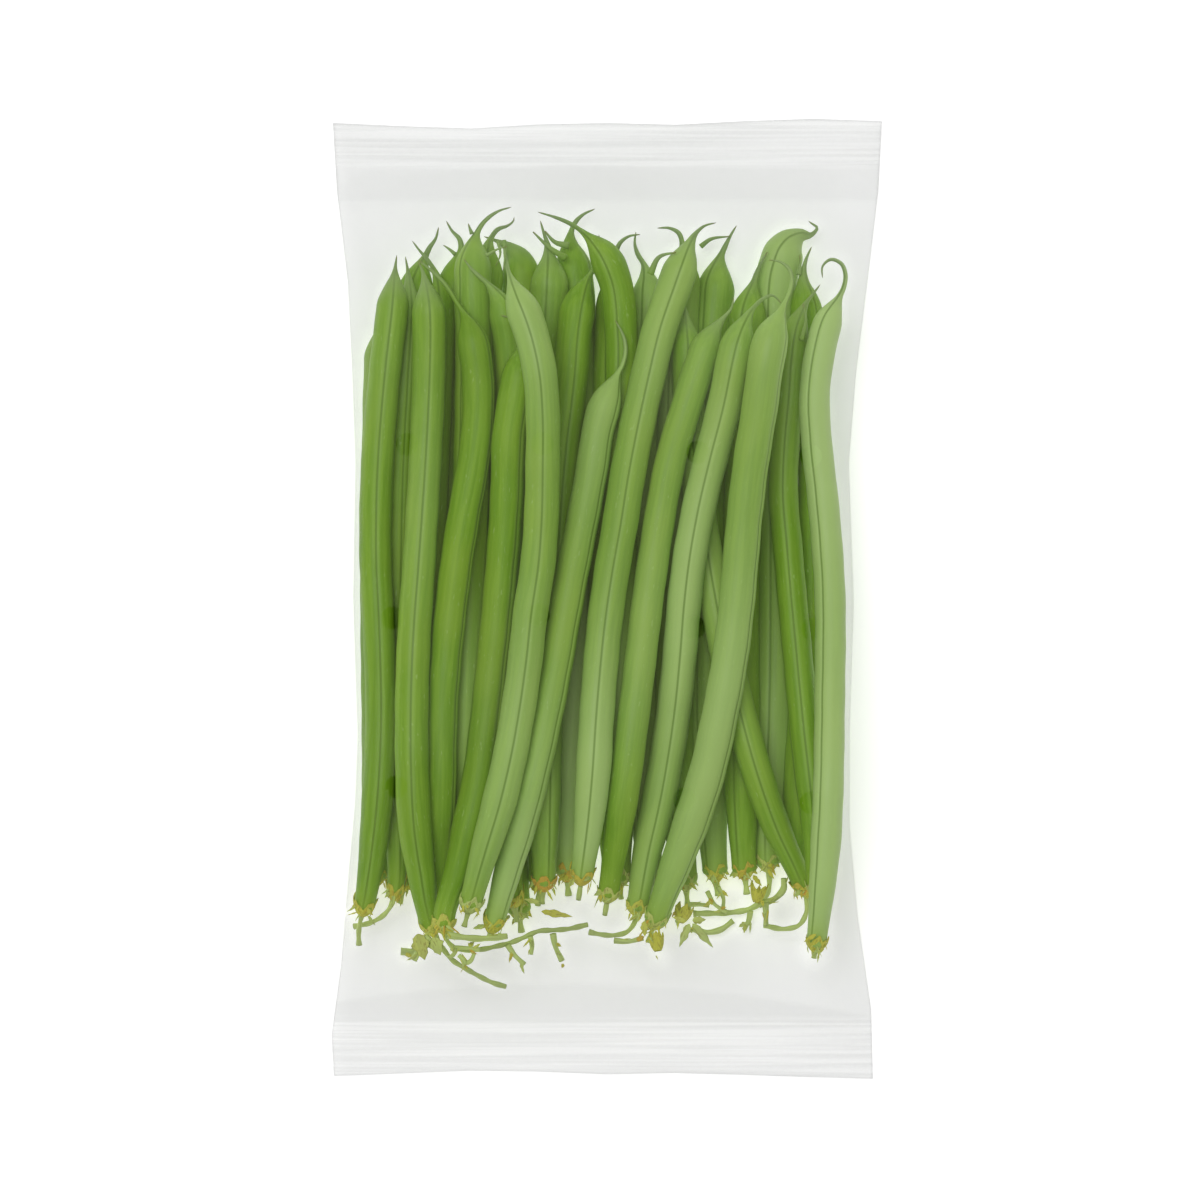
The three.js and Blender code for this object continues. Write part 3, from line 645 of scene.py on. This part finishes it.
def calyx_cup(line, at, radius, phase):
    """A thin cup of five pointed lobes round a pod's neck, opening towards the pod.

    From the stalk to the rim and back inside, the radius grows as a sine to a little over the
    neck's, and the rim reaches further along the pod where cos(5 angle) is high.
    """
    outside = np.linspace(0, 1, CALYX_RINGS)
    inside = np.linspace(1, 0.1, CALYX_RINGS)
    share = np.concatenate([outside, inside])[:, None]
    inner = np.repeat([0.0, CALYX_WALL], CALYX_RINGS)[:, None]
    angle = 2 * np.pi * np.arange(AROUND) / AROUND
    lobe = 0.5 + 0.5 * np.cos(CALYX_LOBES * angle + phase)
    rim = 0.5 + 1.3 * lobe**1.5 + 0.5 * np.sin(2 * angle + phase) + 0.3 * np.sin(11 * angle)
    place = at + CALYX_LENGTH - share * (CALYX_LENGTH + rim)
    reach = 0.75 + (radius - 0.6) * np.sin(share * np.pi / 2) ** 0.8 - inner
    reach = reach + 0.3 * share**3 * lobe + 0.12 * np.sin(7 * angle + phase) * share
    along = distances(line)
    side, above = cross_axes(line)
    spots = [np.stack([np.interp(place, along, rows[:, k]) for k in range(3)], -1)
             for rows in (line, side, above)]
    points = spots[0] + reach[..., None] * (spots[1] * np.cos(angle)[:, None]
                                            + spots[2] * np.sin(angle)[:, None])
    straight = np.stack([reach * np.cos(angle), reach * np.sin(angle), place], -1)
    faces = grid_faces(2 * CALYX_RINGS, AROUND, closed_rows=True)[:, ::-1]
    return points.reshape(-1, 3), faces, straight.reshape(-1, 3)


def pod_shape(node, looks, seam, tones, wide, rng):
    """One bean over its solid: pod with two seams and seeds, tail, neck, cut stalk and calyx cup.

    The radius is the solid's, swollen by a sine of the seed pitch and a slow sine of chance phase.
    Returns what make_mesh needs, and the middle line with the room that the bean takes up round it.
    """
    middle, radius, calyx = solid_line(node)
    lengths = distances(middle)
    neck_at = lengths[calyx]
    radius[0] = TIP_RADIUS
    radius[calyx] = radius[calyx - 1]
    radius[calyx + 1] = NECK_RADIUS
    radius[-1] = radius[-2] * CUT_FLARE
    pod_end = neck_at - NECK_LENGTH
    at = np.concatenate([np.arange(0, TAIL_LENGTH, TAIL_PITCH),
                         np.linspace(TAIL_LENGTH, pod_end, POD_RINGS, endpoint=False),
                         np.arange(pod_end, lengths[-1] - NECK_PITCH / 2, NECK_PITCH),
                         [lengths[-1]]])
    line = curve(lengths, middle, at)
    reach = curve(lengths, radius[:, None], at)[:, 0]
    fade_out = neck_at + np.array(FADE_OUT)
    on_pod = ease(*FADE_IN, at) * (1 - ease(*fade_out, at))
    seeds = np.sin(2 * np.pi * at / (looks.seed_pitch / MM) + rng.uniform(0, 6))
    slow = np.sin(at / 17 + rng.uniform(0, 6))
    swelling = SEED_SWELLING * seeds + SLOW_SWELLING * slow
    reach = np.maximum(reach, LEAST_RADIUS) * (1 + on_pod * swelling)
    reach *= 0.35 + 0.65 * ease(-1, 6, at)
    reach *= 1 - ease(neck_at + 0.5, neck_at + 3, at) * (0.24 + 0.1 * np.sin(1.7 * at))
    turn = np.radians(seam) + 0.08 * np.sin(at / 40 + rng.uniform(0, 6))
    groove = 0.1 + 0.9 * on_pod
    points, faces, from_seam, straight = tube(line, reach, turn, groove, looks.seam_depth, wide)
    phase = rng.uniform(0, 6)
    cup_points, cup_faces, cup_straight = calyx_cup(line, neck_at, radius[calyx], phase)
    along = straight[:, 2]
    tone = np.interp(along, [0, neck_at], tones) + 0.15 * np.sin(along / 19 + rng.uniform(0, 6))
    cups = np.ones(len(cup_points))
    cup_tone = CALYX_TONES.get(node, rng.uniform(-0.9, 0.35))
    shift = np.array([0, 0, rng.uniform(0, 900)])
    numbers = {
        "from_tip": np.concatenate([along, cups * neck_at]),
        "from_neck": np.concatenate([neck_at - along, cups * 0]),
        "from_seam": np.concatenate([from_seam, cups * NO_SEAM]),
        "tone": np.concatenate([tone, cups * cup_tone]),
        "cup": np.concatenate([along * 0, cups]),
    }
    vectors = {"straight": (np.vstack([straight, cup_straight]) + shift) * MM}
    near_calyx = np.abs(at - neck_at) < CALYX_REACH
    cover = np.where(near_calyx, radius[calyx] + CALYX_ROOM, reach * wide)
    i = np.searchsorted(at, neck_at)
    necks.append((line[i], line[i + 1] - line[i], radius[calyx]))
    shape = np.vstack([points, cup_points]), [*faces, cup_faces + len(points)], numbers, vectors
    return shape, (line, cover)


def dress_layer(layer, tones, seed, wide=1.0):
    """Every bean of one layer of solids, each replaced by its finished pod.

    tones is the range of a chance tone, and seed starts the layer's own draws.
    """
    looks = bpy.context.scene.bean_looks
    material = bean_material()
    rng = np.random.default_rng(seed)
    names = sorted(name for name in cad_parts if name.startswith(layer))
    if not names:
        raise RuntimeError(f"the frame has no solids called {layer}")
    for name in names:
        chance = rng.uniform(40, 140), *rng.uniform(*tones, 2)
        seam, *pair = SEAM_AND_TONES.get(name, chance)
        (points, faces, numbers, vectors), line = pod_shape(name, looks, seam, pair, wide, rng)
        pod = make_mesh(name.replace("bean", "pod"), points, faces, material, numbers, vectors)
        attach(pod, "root")
        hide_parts(name)
        laid.append(line)


def rest_on_pods(route, radius):
    """Lifts a route seen from above onto what is already laid under it, falling only gently."""
    lines = np.vstack([line for line, reach in laid])
    room = np.concatenate([reach for line, reach in laid]) + radius + CLEARANCE
    apart = np.linalg.norm(route[:, None, :2] - lines[None, :, :2], axis=2)
    lift = np.sqrt(np.maximum(room**2 - apart**2, 0))
    level = np.where(apart < room, lines[:, 2] + lift, radius + FILM_UNDER).max(axis=1)
    step = np.linalg.norm(np.diff(route[:, :2], axis=0), axis=1) * STEEPEST_FALL
    for i in range(1, len(level)):
        level[i] = max(level[i], level[i - 1] - step[i - 1])
    for i in range(len(level) - 1, 0, -1):
        level[i - 1] = max(level[i - 1], level[i] - step[i - 1])
    high = level.copy()
    for _ in range(SAG_SWEEPS):
        high[1:-1] = np.maximum(level[1:-1], (high[:-2] + high[2:]) / 2 - SAG_STEP)
    return np.column_stack([route[:, :2], high])


def sepals(root, way, up, length, width, curl, tone):
    """Withered sepals, all at once: thin pointed leaves that curl up or down along their length.

    At a share u of the length and an angle a round the leaf, a point lies u along its way, curl u^2
    up, the width times sin(pi u^0.7) times cos(a) across, and the thickness times sin(a) up.
    """
    u = np.linspace(0.01, 0.99, SEPAL_ROWS)[None, :, None]
    a = 2 * np.pi * np.arange(SEPAL_AROUND)[None, None, :] / SEPAL_AROUND
    side = np.cross(way, up)
    length, width, curl = (v[:, None, None] for v in (length, width, curl))
    across = width * np.sin(np.pi * u**0.7) * (1 + 0.2 * np.sin(17 * u + 40 * width))
    lift = curl * length * u**2
    thick = SEPAL_THICKNESS * np.sin(np.pi * u) ** 0.5
    middle = root[:, None] + way[:, None] * (u * length) + up[:, None] * lift
    points = (middle[:, :, None] + side[:, None, None] * (across * np.cos(a))[..., None]
              + up[:, None, None] * (thick * np.sin(a))[..., None])
    straight = np.stack(np.broadcast_arrays(across * np.cos(a), thick * np.sin(a),
                                            u * length + 50 * width), -1)
    laid.extend((line, np.full(len(line), SEPAL_ROOM)) for line in middle)
    first = SEPAL_POINTS * np.arange(len(root))[:, None]
    quads = (grid_faces(SEPAL_ROWS, SEPAL_AROUND)[None] + first[:, :, None]).reshape(-1, 4)
    ring = np.arange(SEPAL_AROUND)
    caps = [first + ring, first + SEPAL_POINTS - 1 - ring]
    tones = np.repeat(tone, SEPAL_POINTS)
    return points.reshape(-1, 3), [quads, *caps], straight.reshape(-1, 3), tones


def unit(rows):
    """Each row divided by its length."""
    return rows / np.linalg.norm(rows, axis=1, keepdims=True)


def neck_sepals(rng):
    """Sepals round the top of every pod's neck and along the loose stalks."""
    spots = [(point, ahead, radius) for point, ahead, radius in necks for _ in range(SEPALS_A_NECK)]
    for line, reach in laid[len(necks):]:
        picked = rng.integers(1, len(line) - 1, SEPALS_A_STALK)
        spots += [(line[i], line[i + 1] - line[i], reach[i]) for i in picked if line[i, 1] < 0]
    point, ahead = (np.array([s[k] for s in spots]) for k in (0, 1))
    radius = np.array([s[2] for s in spots])[:, None]
    count = len(spots)
    ahead = unit(ahead)
    side = unit(np.cross(ahead, [0, 0, 1.0]))
    above = np.cross(side, ahead)
    angle = rng.uniform(0.2, np.pi - 0.2, (count, 1))
    out = side * np.cos(angle) + above * np.sin(angle)
    over = above * np.cos(angle) - side * np.sin(angle)
    root = point + out * radius * 0.9 + ahead * rng.uniform(-1, 1.2, (count, 1))
    way = unit(ahead * rng.uniform(0.2, 1, (count, 1)) + out * rng.uniform(0, 0.3, (count, 1))
               + over * rng.uniform(-0.9, 0.9, (count, 1)))
    up = unit(np.cross(np.cross(way, out + over * rng.uniform(-0.7, 0.7, (count, 1))), way))
    slim = rng.uniform(0, 1, count) ** 1.5
    return sepals(root, way, up, rng.uniform(1.2, 3.2, count), 0.16 + 0.5 * slim,
                  rng.uniform(-0.3, 0.3, count), rng.uniform(-1, 0.8, count))


def placed_sepals():
    """The sepals with a place of their own, lying level on whatever is under their middles."""
    ends = np.array([(*root, *point) for root, point, *_ in SEPALS], float).reshape(-1, 2, 2)
    width, curl, tone = np.array([rest for _, _, *rest in SEPALS]).T
    middle = np.column_stack([ends.mean(axis=1), 0 * width])
    level = rest_on_pods(middle, SEPAL_HEIGHT)[:, 2]
    root = np.column_stack([ends[:, 0], level])
    along = np.column_stack([ends[:, 1] - ends[:, 0], 0 * width])
    length = np.linalg.norm(along, axis=1)
    up = np.tile([0, 0, 1.0], (len(root), 1))
    return sepals(root, unit(along), up, length, width, curl, tone)


def loose_bits():
    """Loose stalks, tails and calyxes that lie on the pods, and the withered sepals.

    Each block has points, faces, straightened places, distances from a tip and from a neck, a 1
    where it is calyx, and tones.
    """
    blocks = []
    for table, is_tail in ((STALKS, False), (TAILS, True)):
        for radius, route in table:
            flat = np.array([(x, y, 0) for x, y in route], float)
            lengths = distances(flat)
            at = np.linspace(0, lengths[-1], int(lengths[-1] / STALK_PITCH) + 3)
            line = rest_on_pods(curve(lengths, flat, at), radius)
            if is_tail:
                reach = radius * (1 - 0.8 * at / at[-1])
            else:
                reach = radius * (1 + 0.25 * np.exp(-at / 0.8) + 0.12 * np.sin(at * 1.3))
            points, faces, _, straight = tube(line, reach)
            laid.append((line, reach))
            from_tip = straight[:, 2].max() - straight[:, 2] if is_tail else FAR
            from_neck = FAR if is_tail else PAST_NECK
            blocks.append((points, faces, straight, from_tip, from_neck, 0, 0))
    for radius, degrees, (x, y) in HUSKS:
        way = np.array([np.cos(np.radians(degrees)), np.sin(np.radians(degrees)), 0])
        at = np.linspace(-HUSK_OPEN_SIDE, HUSK_STALK_SIDE, HUSK_POINTS)[:, None]
        line = rest_on_pods(np.array([x, y, 0]) - at * way, radius)
        line[:, 2] = line[:, 2].mean()
        points, faces, straight = calyx_cup(line, HUSK_OPEN_SIDE, radius, x)
        body = line[HUSK_PAST_RIM:]
        laid.append((body, np.full(len(body), radius + CALYX_ROOM)))
        blocks.append((points, [faces], straight, FAR, 0, 1, HUSK_TONE))
    chance = np.random.default_rng(SEPAL_SEED)
    for points, faces, straight, tone in (neck_sepals(chance), placed_sepals()):
        blocks.append((points, faces, straight, FAR, 0, 1, tone))
    return blocks


def film_x(share, y):
    """Place across the bag of a share of its half width, which differs between left and right."""
    left = np.interp(y, *np.transpose(LEFT_EDGE))
    right = np.interp(y, *np.transpose(RIGHT_EDGE))
    return share * np.where(share < 0, left, right)


def pod_levels(x, y, up, gap):
    """How far the laid pods and stalks reach, up or down, over each point of a grid.

    A pod reaches its middle line's level plus the root of its squared radius less the squared
    distance from the line; the highest of all of them counts.
    """
    level = np.full(x.shape, -NO_LIMIT)
    rows, columns = x.shape
    near = np.arange(-FEEL_REACH, FEEL_REACH + 1)
    for line, reach in laid:
        lengths = distances(line)
        at = np.arange(0, lengths[-1], FEEL_PITCH)
        spots = np.stack([np.interp(at, lengths, line[:, k]) for k in range(3)], -1)
        room = np.interp(at, lengths, reach) + gap
        j = np.clip(np.searchsorted(y[:, 0], spots[:, 1]), 0, rows - 1)
        i = np.argmin(np.abs(x[j] - spots[:, :1]), axis=1)
        jj = np.clip(j[:, None, None] + near[:, None], 0, rows - 1)
        ii = np.clip(i[:, None, None] + near[None, :], 0, columns - 1)
        spot_x, spot_y, spot_z = spots.T[:, :, None, None]
        apart = (x[jj, ii] - spot_x) ** 2 + (y[jj, ii] - spot_y) ** 2
        over = room[:, None, None] ** 2 - apart
        value = up * spot_z + np.sqrt(np.maximum(over, 0))
        jj, ii = np.broadcast_arrays(jj, ii)
        hit = over > 0
        np.maximum.at(level, (jj[hit], ii[hit]), value[hit])
    return level


def stretch(level, limit, cap, inside):
    """A taut sheet: each free point goes to its neighbours' mean, at least limit and at most cap."""
    for _ in range(FILM_SWEEPS):
        mean = (level[:-2, 1:-1] + level[2:, 1:-1] + level[1:-1, :-2] + level[1:-1, 2:]) / 4
        free = np.minimum(cap, np.maximum(limit[1:-1, 1:-1], mean))
        level[1:-1, 1:-1] = np.where(inside[1:-1, 1:-1], free, level[1:-1, 1:-1])
    return level


def film_shape(looks):
    """The whole bag as one closed skin of two taut sheets, with its vents cut out.

    The grid's columns are shares of the bag's width and its rows are heights up the bag. The side
    folds and the two flat seals hold the sheets, which share their points all round the border.
    """
    share = np.linspace(-1, 1, FILM_COLUMNS)[None, :]
    up = np.concatenate([np.linspace(-BAG_END, BOTTOM_SEAL, BOTTOM_SEAL_ROWS)[:-1],
                         np.linspace(BOTTOM_SEAL, TOP_SEAL, FILM_ROWS),
                         np.linspace(TOP_SEAL, BAG_END, TOP_SEAL_ROWS)[1:]])[:, None]
    waves = np.linspace(-1, 1, len(TOP_WAVE))
    near_top = ease(TOP_SEAL - WAVE_FADE, BAG_END, up)
    near_bottom = ease(-BOTTOM_SEAL - WAVE_FADE, BAG_END, -up)
    out_top = near_top * np.interp(share, waves, TOP_WAVE)
    out_bottom = near_bottom * np.interp(share, waves, BOTTOM_WAVE)
    y = up + out_top + out_bottom
    x = film_x(share, up)
    from_seal = np.minimum(TOP_SEAL - up, up - BOTTOM_SEAL)
    risen = ease(0, FOLD_RISE, from_seal)
    fold = SEAL_LEVEL + (FOLD_LEVEL - SEAL_LEVEL) * risen + 0 * share
    inside = (from_seal > 0) & (np.abs(share) < 1)
    gap = looks.gap / MM
    pod_top = pod_levels(x, y, 1, gap)
    over = stretch(fold.copy(), pod_top, NO_LIMIT, inside)
    under = -stretch(-fold, pod_levels(x, y, -1, gap), -FLOOR_GAP, inside)
    # blurring the cover thins the veil in a soft rim round the pods: painted light that lifts the
    # shade they cast on the floor
    covered = (pod_top > 0).astype(float)
    for _ in range(COVER_SWEEPS):
        covered[1:-1, 1:-1] = (covered[:-2, 1:-1] + covered[2:, 1:-1] + covered[1:-1, :-2]
                               + covered[1:-1, 2:]) / 4
    off_border = (np.abs(share) < 1) * (np.abs(up) < BAG_END)
    ply = PLY * ease(0, PLY_FADE, PLY_FADE - from_seal) * off_border
    sheets = [np.stack([x, y, over + ply], -1), np.stack([x, y, under - ply], -1)]

    rows, columns = x.shape
    number = np.arange(rows * columns).reshape(rows, columns)
    below = number + rows * columns
    border = np.ones_like(inside)
    border[1:-1, 1:-1] = False
    below[border] = number[border]
    faces = []
    points = np.vstack([s.reshape(-1, 3) for s in sheets])
    radius = looks.vent_radius / MM
    for ids, vents, flip in ((number, FRONT_VENTS, False), (below, BACK_VENTS, True)):
        corners = [ids[:-1, :-1], ids[:-1, 1:], ids[1:, 1:], ids[1:, :-1]]
        quads = np.stack(corners, -1).reshape(-1, 4)
        for vent in vents:
            centre = points[quads, :2].mean(axis=1)
            hole = np.linalg.norm(centre - vent, axis=1) < radius
            rim = np.intersect1d(quads[hole], quads[~hole])
            away = points[rim, :2] - vent
            points[rim, :2] = vent + away * (radius / np.linalg.norm(away, axis=1, keepdims=True))
            quads = quads[~hole]
        faces.append(quads[:, ::-1] if flip else quads)
    used = np.unique(np.concatenate(faces))
    new = np.zeros(len(points), int)
    new[used] = np.arange(len(used))
    points = points[used]
    x, y = points[:, 0], points[:, 1]
    arch = ARCH_LEVEL - ARCH_BEND * (x - ARCH_MIDDLE) ** 2
    top_weld = ease(*TOP_WELD, y)
    bottom_weld = ease(*BOTTOM_WELD, y)
    numbers = {
        "weld": np.maximum(top_weld, bottom_weld),
        # the bands of painted shade: straight below the top seal, arched above the bottom seal
        "shade_band": np.maximum(ease(*TOP_SHADE_BAND, y), ease(0, ARCH_BLUR, arch - y) * (1 - bottom_weld)),
        "bare": 1 - np.tile(covered.reshape(-1), 2)[used],
    }
    return points, [new[block] for block in faces], numbers


class BEANS_OT_back(bpy.types.Operator):
    """Dress the beans that lie at the back of the bag"""

    bl_idname = "beans.back"
    bl_label = "Back beans"

    def execute(self, context):
        looks = context.scene.bean_looks
        # the back pods' chance tones reach paler than the front pods': partly their own colour, partly
        # painted light lifting the shade the back layer lies in
        dress_layer("bean_back", tones=(-0.1, 0.4), seed=11, wide=looks.back_width)
        return {"FINISHED"}


class BEANS_OT_middle(bpy.types.Operator):
    """Dress the beans in the middle layer"""

    bl_idname = "beans.middle"
    bl_label = "Middle beans"

    def execute(self, context):
        # the middle pods' chance tones reach a little paler than the front pods': partly their own
        # colour, partly painted light lifting the shade they lie in
        dress_layer("bean_middle", tones=(-0.1, 0.35), seed=23)
        return {"FINISHED"}


class BEANS_OT_front(bpy.types.Operator):
    """Dress the beans that lie against the front film"""

    bl_idname = "beans.front"
    bl_label = "Front beans"

    def execute(self, context):
        dress_layer("bean_front", tones=(0.0, 0.3), seed=37)
        return {"FINISHED"}


class BEANS_OT_bits(bpy.types.Operator):
    """Lay the loose stalks and calyxes on the stalk ends"""

    bl_idname = "beans.bits"
    bl_label = "Loose stalks"

    def execute(self, context):
        if not laid:
            raise RuntimeError("the loose stalks need beans to lie on")
        blocks = loose_bits()
        starts = np.cumsum([0] + [len(b[0]) for b in blocks])
        points = np.vstack([b[0] for b in blocks])
        faces = [face + start for b, start in zip(blocks, starts) for face in b[1]]
        numbers = {key: np.concatenate([b[k] + np.zeros(len(b[0])) for b in blocks])
                   for k, key in enumerate(("from_tip", "from_neck", "cup", "tone"), 3)}
        numbers["from_seam"] = np.full(len(points), NO_SEAM)
        straight = [b[2] + [0, 0, 31 * k] for k, b in enumerate(blocks)]
        vectors = {"straight": np.vstack(straight) * MM}
        bits = make_mesh("loose_stalks", points, faces, bean_material(), numbers, vectors)
        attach(bits, "root")
        return {"FINISHED"}


class BEANS_OT_film(bpy.types.Operator):
    """Draw the clear film bag round everything that is laid"""

    bl_idname = "beans.film"
    bl_label = "Film bag"

    def execute(self, context):
        looks = context.scene.film_looks
        if not laid:
            raise RuntimeError("the film needs beans to lie on")
        points, faces, numbers = film_shape(looks)
        film = make_mesh("film_bag_skin", points, faces, film_finish(looks), numbers)
        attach(film, "root")
        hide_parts("film_bag")
        return {"FINISHED"}


class BEANS_OT_stage(bpy.types.Operator):
    """Set the floor, the soft lights and the camera straight above"""

    bl_idname = "beans.stage"
    bl_label = "Stage"

    def execute(self, context):
        scene = context.scene
        looks = scene.stage_looks
        turns = ((-1, -1), (1, -1), (1, 1), (-1, 1))
        corners = np.array([(FLOOR_HALF * x, FLOOR_HALF * y, FLOOR_LEVEL) for x, y in turns])
        floor = make_mesh("floor", corners, [np.array([[0, 1, 2, 3]])], floor_finish(looks))

        world = bpy.data.worlds.new("soft_dome")
        world.use_nodes = True
        world.node_tree.nodes["Background"].inputs["Color"].default_value = (1, 1, 1, 1)
        world.node_tree.nodes["Background"].inputs["Strength"].default_value = looks.dome
        scene.world = world

        lamp = bpy.data.lights.new("large_lamp", "AREA")
        lamp.shape = "SQUARE"
        lamp.size = 1.1
        lamp.energy = looks.lamp
        lamp_object = bpy.data.objects.new("large_lamp", lamp)
        lamp_object.location = (-0.35, 0.45, 1.9)
        lamp_object.rotation_euler = (-0.23, -0.18, 0)
        scene.collection.objects.link(lamp_object)

        camera = bpy.data.cameras.new("camera")
        camera.sensor_width = 36
        camera.lens = camera.sensor_width * looks.distance / looks.view_width
        camera.clip_end = 10
        camera_object = bpy.data.objects.new("camera", camera)
        x, y, middle = VIEW_MIDDLE
        camera_object.location = (x, y, middle + looks.distance)
        scene.collection.objects.link(camera_object)
        scene.camera = camera_object
        scene.view_settings.view_transform = "Standard"
        return {"FINISHED"}


class BEANS_PT_panel(bpy.types.Panel):
    """Settings and steps of the bagged beans"""

    bl_idname = "BEANS_PT_panel"
    bl_label = "Bagged beans"
    bl_space_type = "VIEW_3D"
    bl_region_type = "UI"
    bl_category = "Beans"

    def draw(self, context):
        for group in GROUPS:
            settings = getattr(context.scene, group)
            box = self.layout.box()
            for key in settings.__annotations__:
                box.prop(settings, key)
        for step in STEPS:
            self.layout.operator(step.bl_idname)


STEPS = (BEANS_OT_back, BEANS_OT_middle, BEANS_OT_front, BEANS_OT_bits, BEANS_OT_film, BEANS_OT_stage)
GROUPS = {"bean_looks": BeanSettings, "film_looks": FilmSettings, "stage_looks": StageSettings}


def register():
    for group in GROUPS.values():
        bpy.utils.register_class(group)
    for key, group in GROUPS.items():
        setattr(bpy.types.Scene, key, PointerProperty(type=group))
    for step in (*STEPS, BEANS_PT_panel):
        bpy.utils.register_class(step)


def unregister():
    for step in (BEANS_PT_panel, *reversed(STEPS)):
        bpy.utils.unregister_class(step)
    for key in GROUPS:
        delattr(bpy.types.Scene, key)
    for group in GROUPS.values():
        bpy.utils.unregister_class(group)


def main():
    register()
    bpy.ops.beans.back()
    bpy.ops.beans.middle()
    bpy.ops.beans.front()
    bpy.ops.beans.bits()
    bpy.ops.beans.film()
    bpy.ops.beans.stage()


if __name__ == "__main__":
    main()
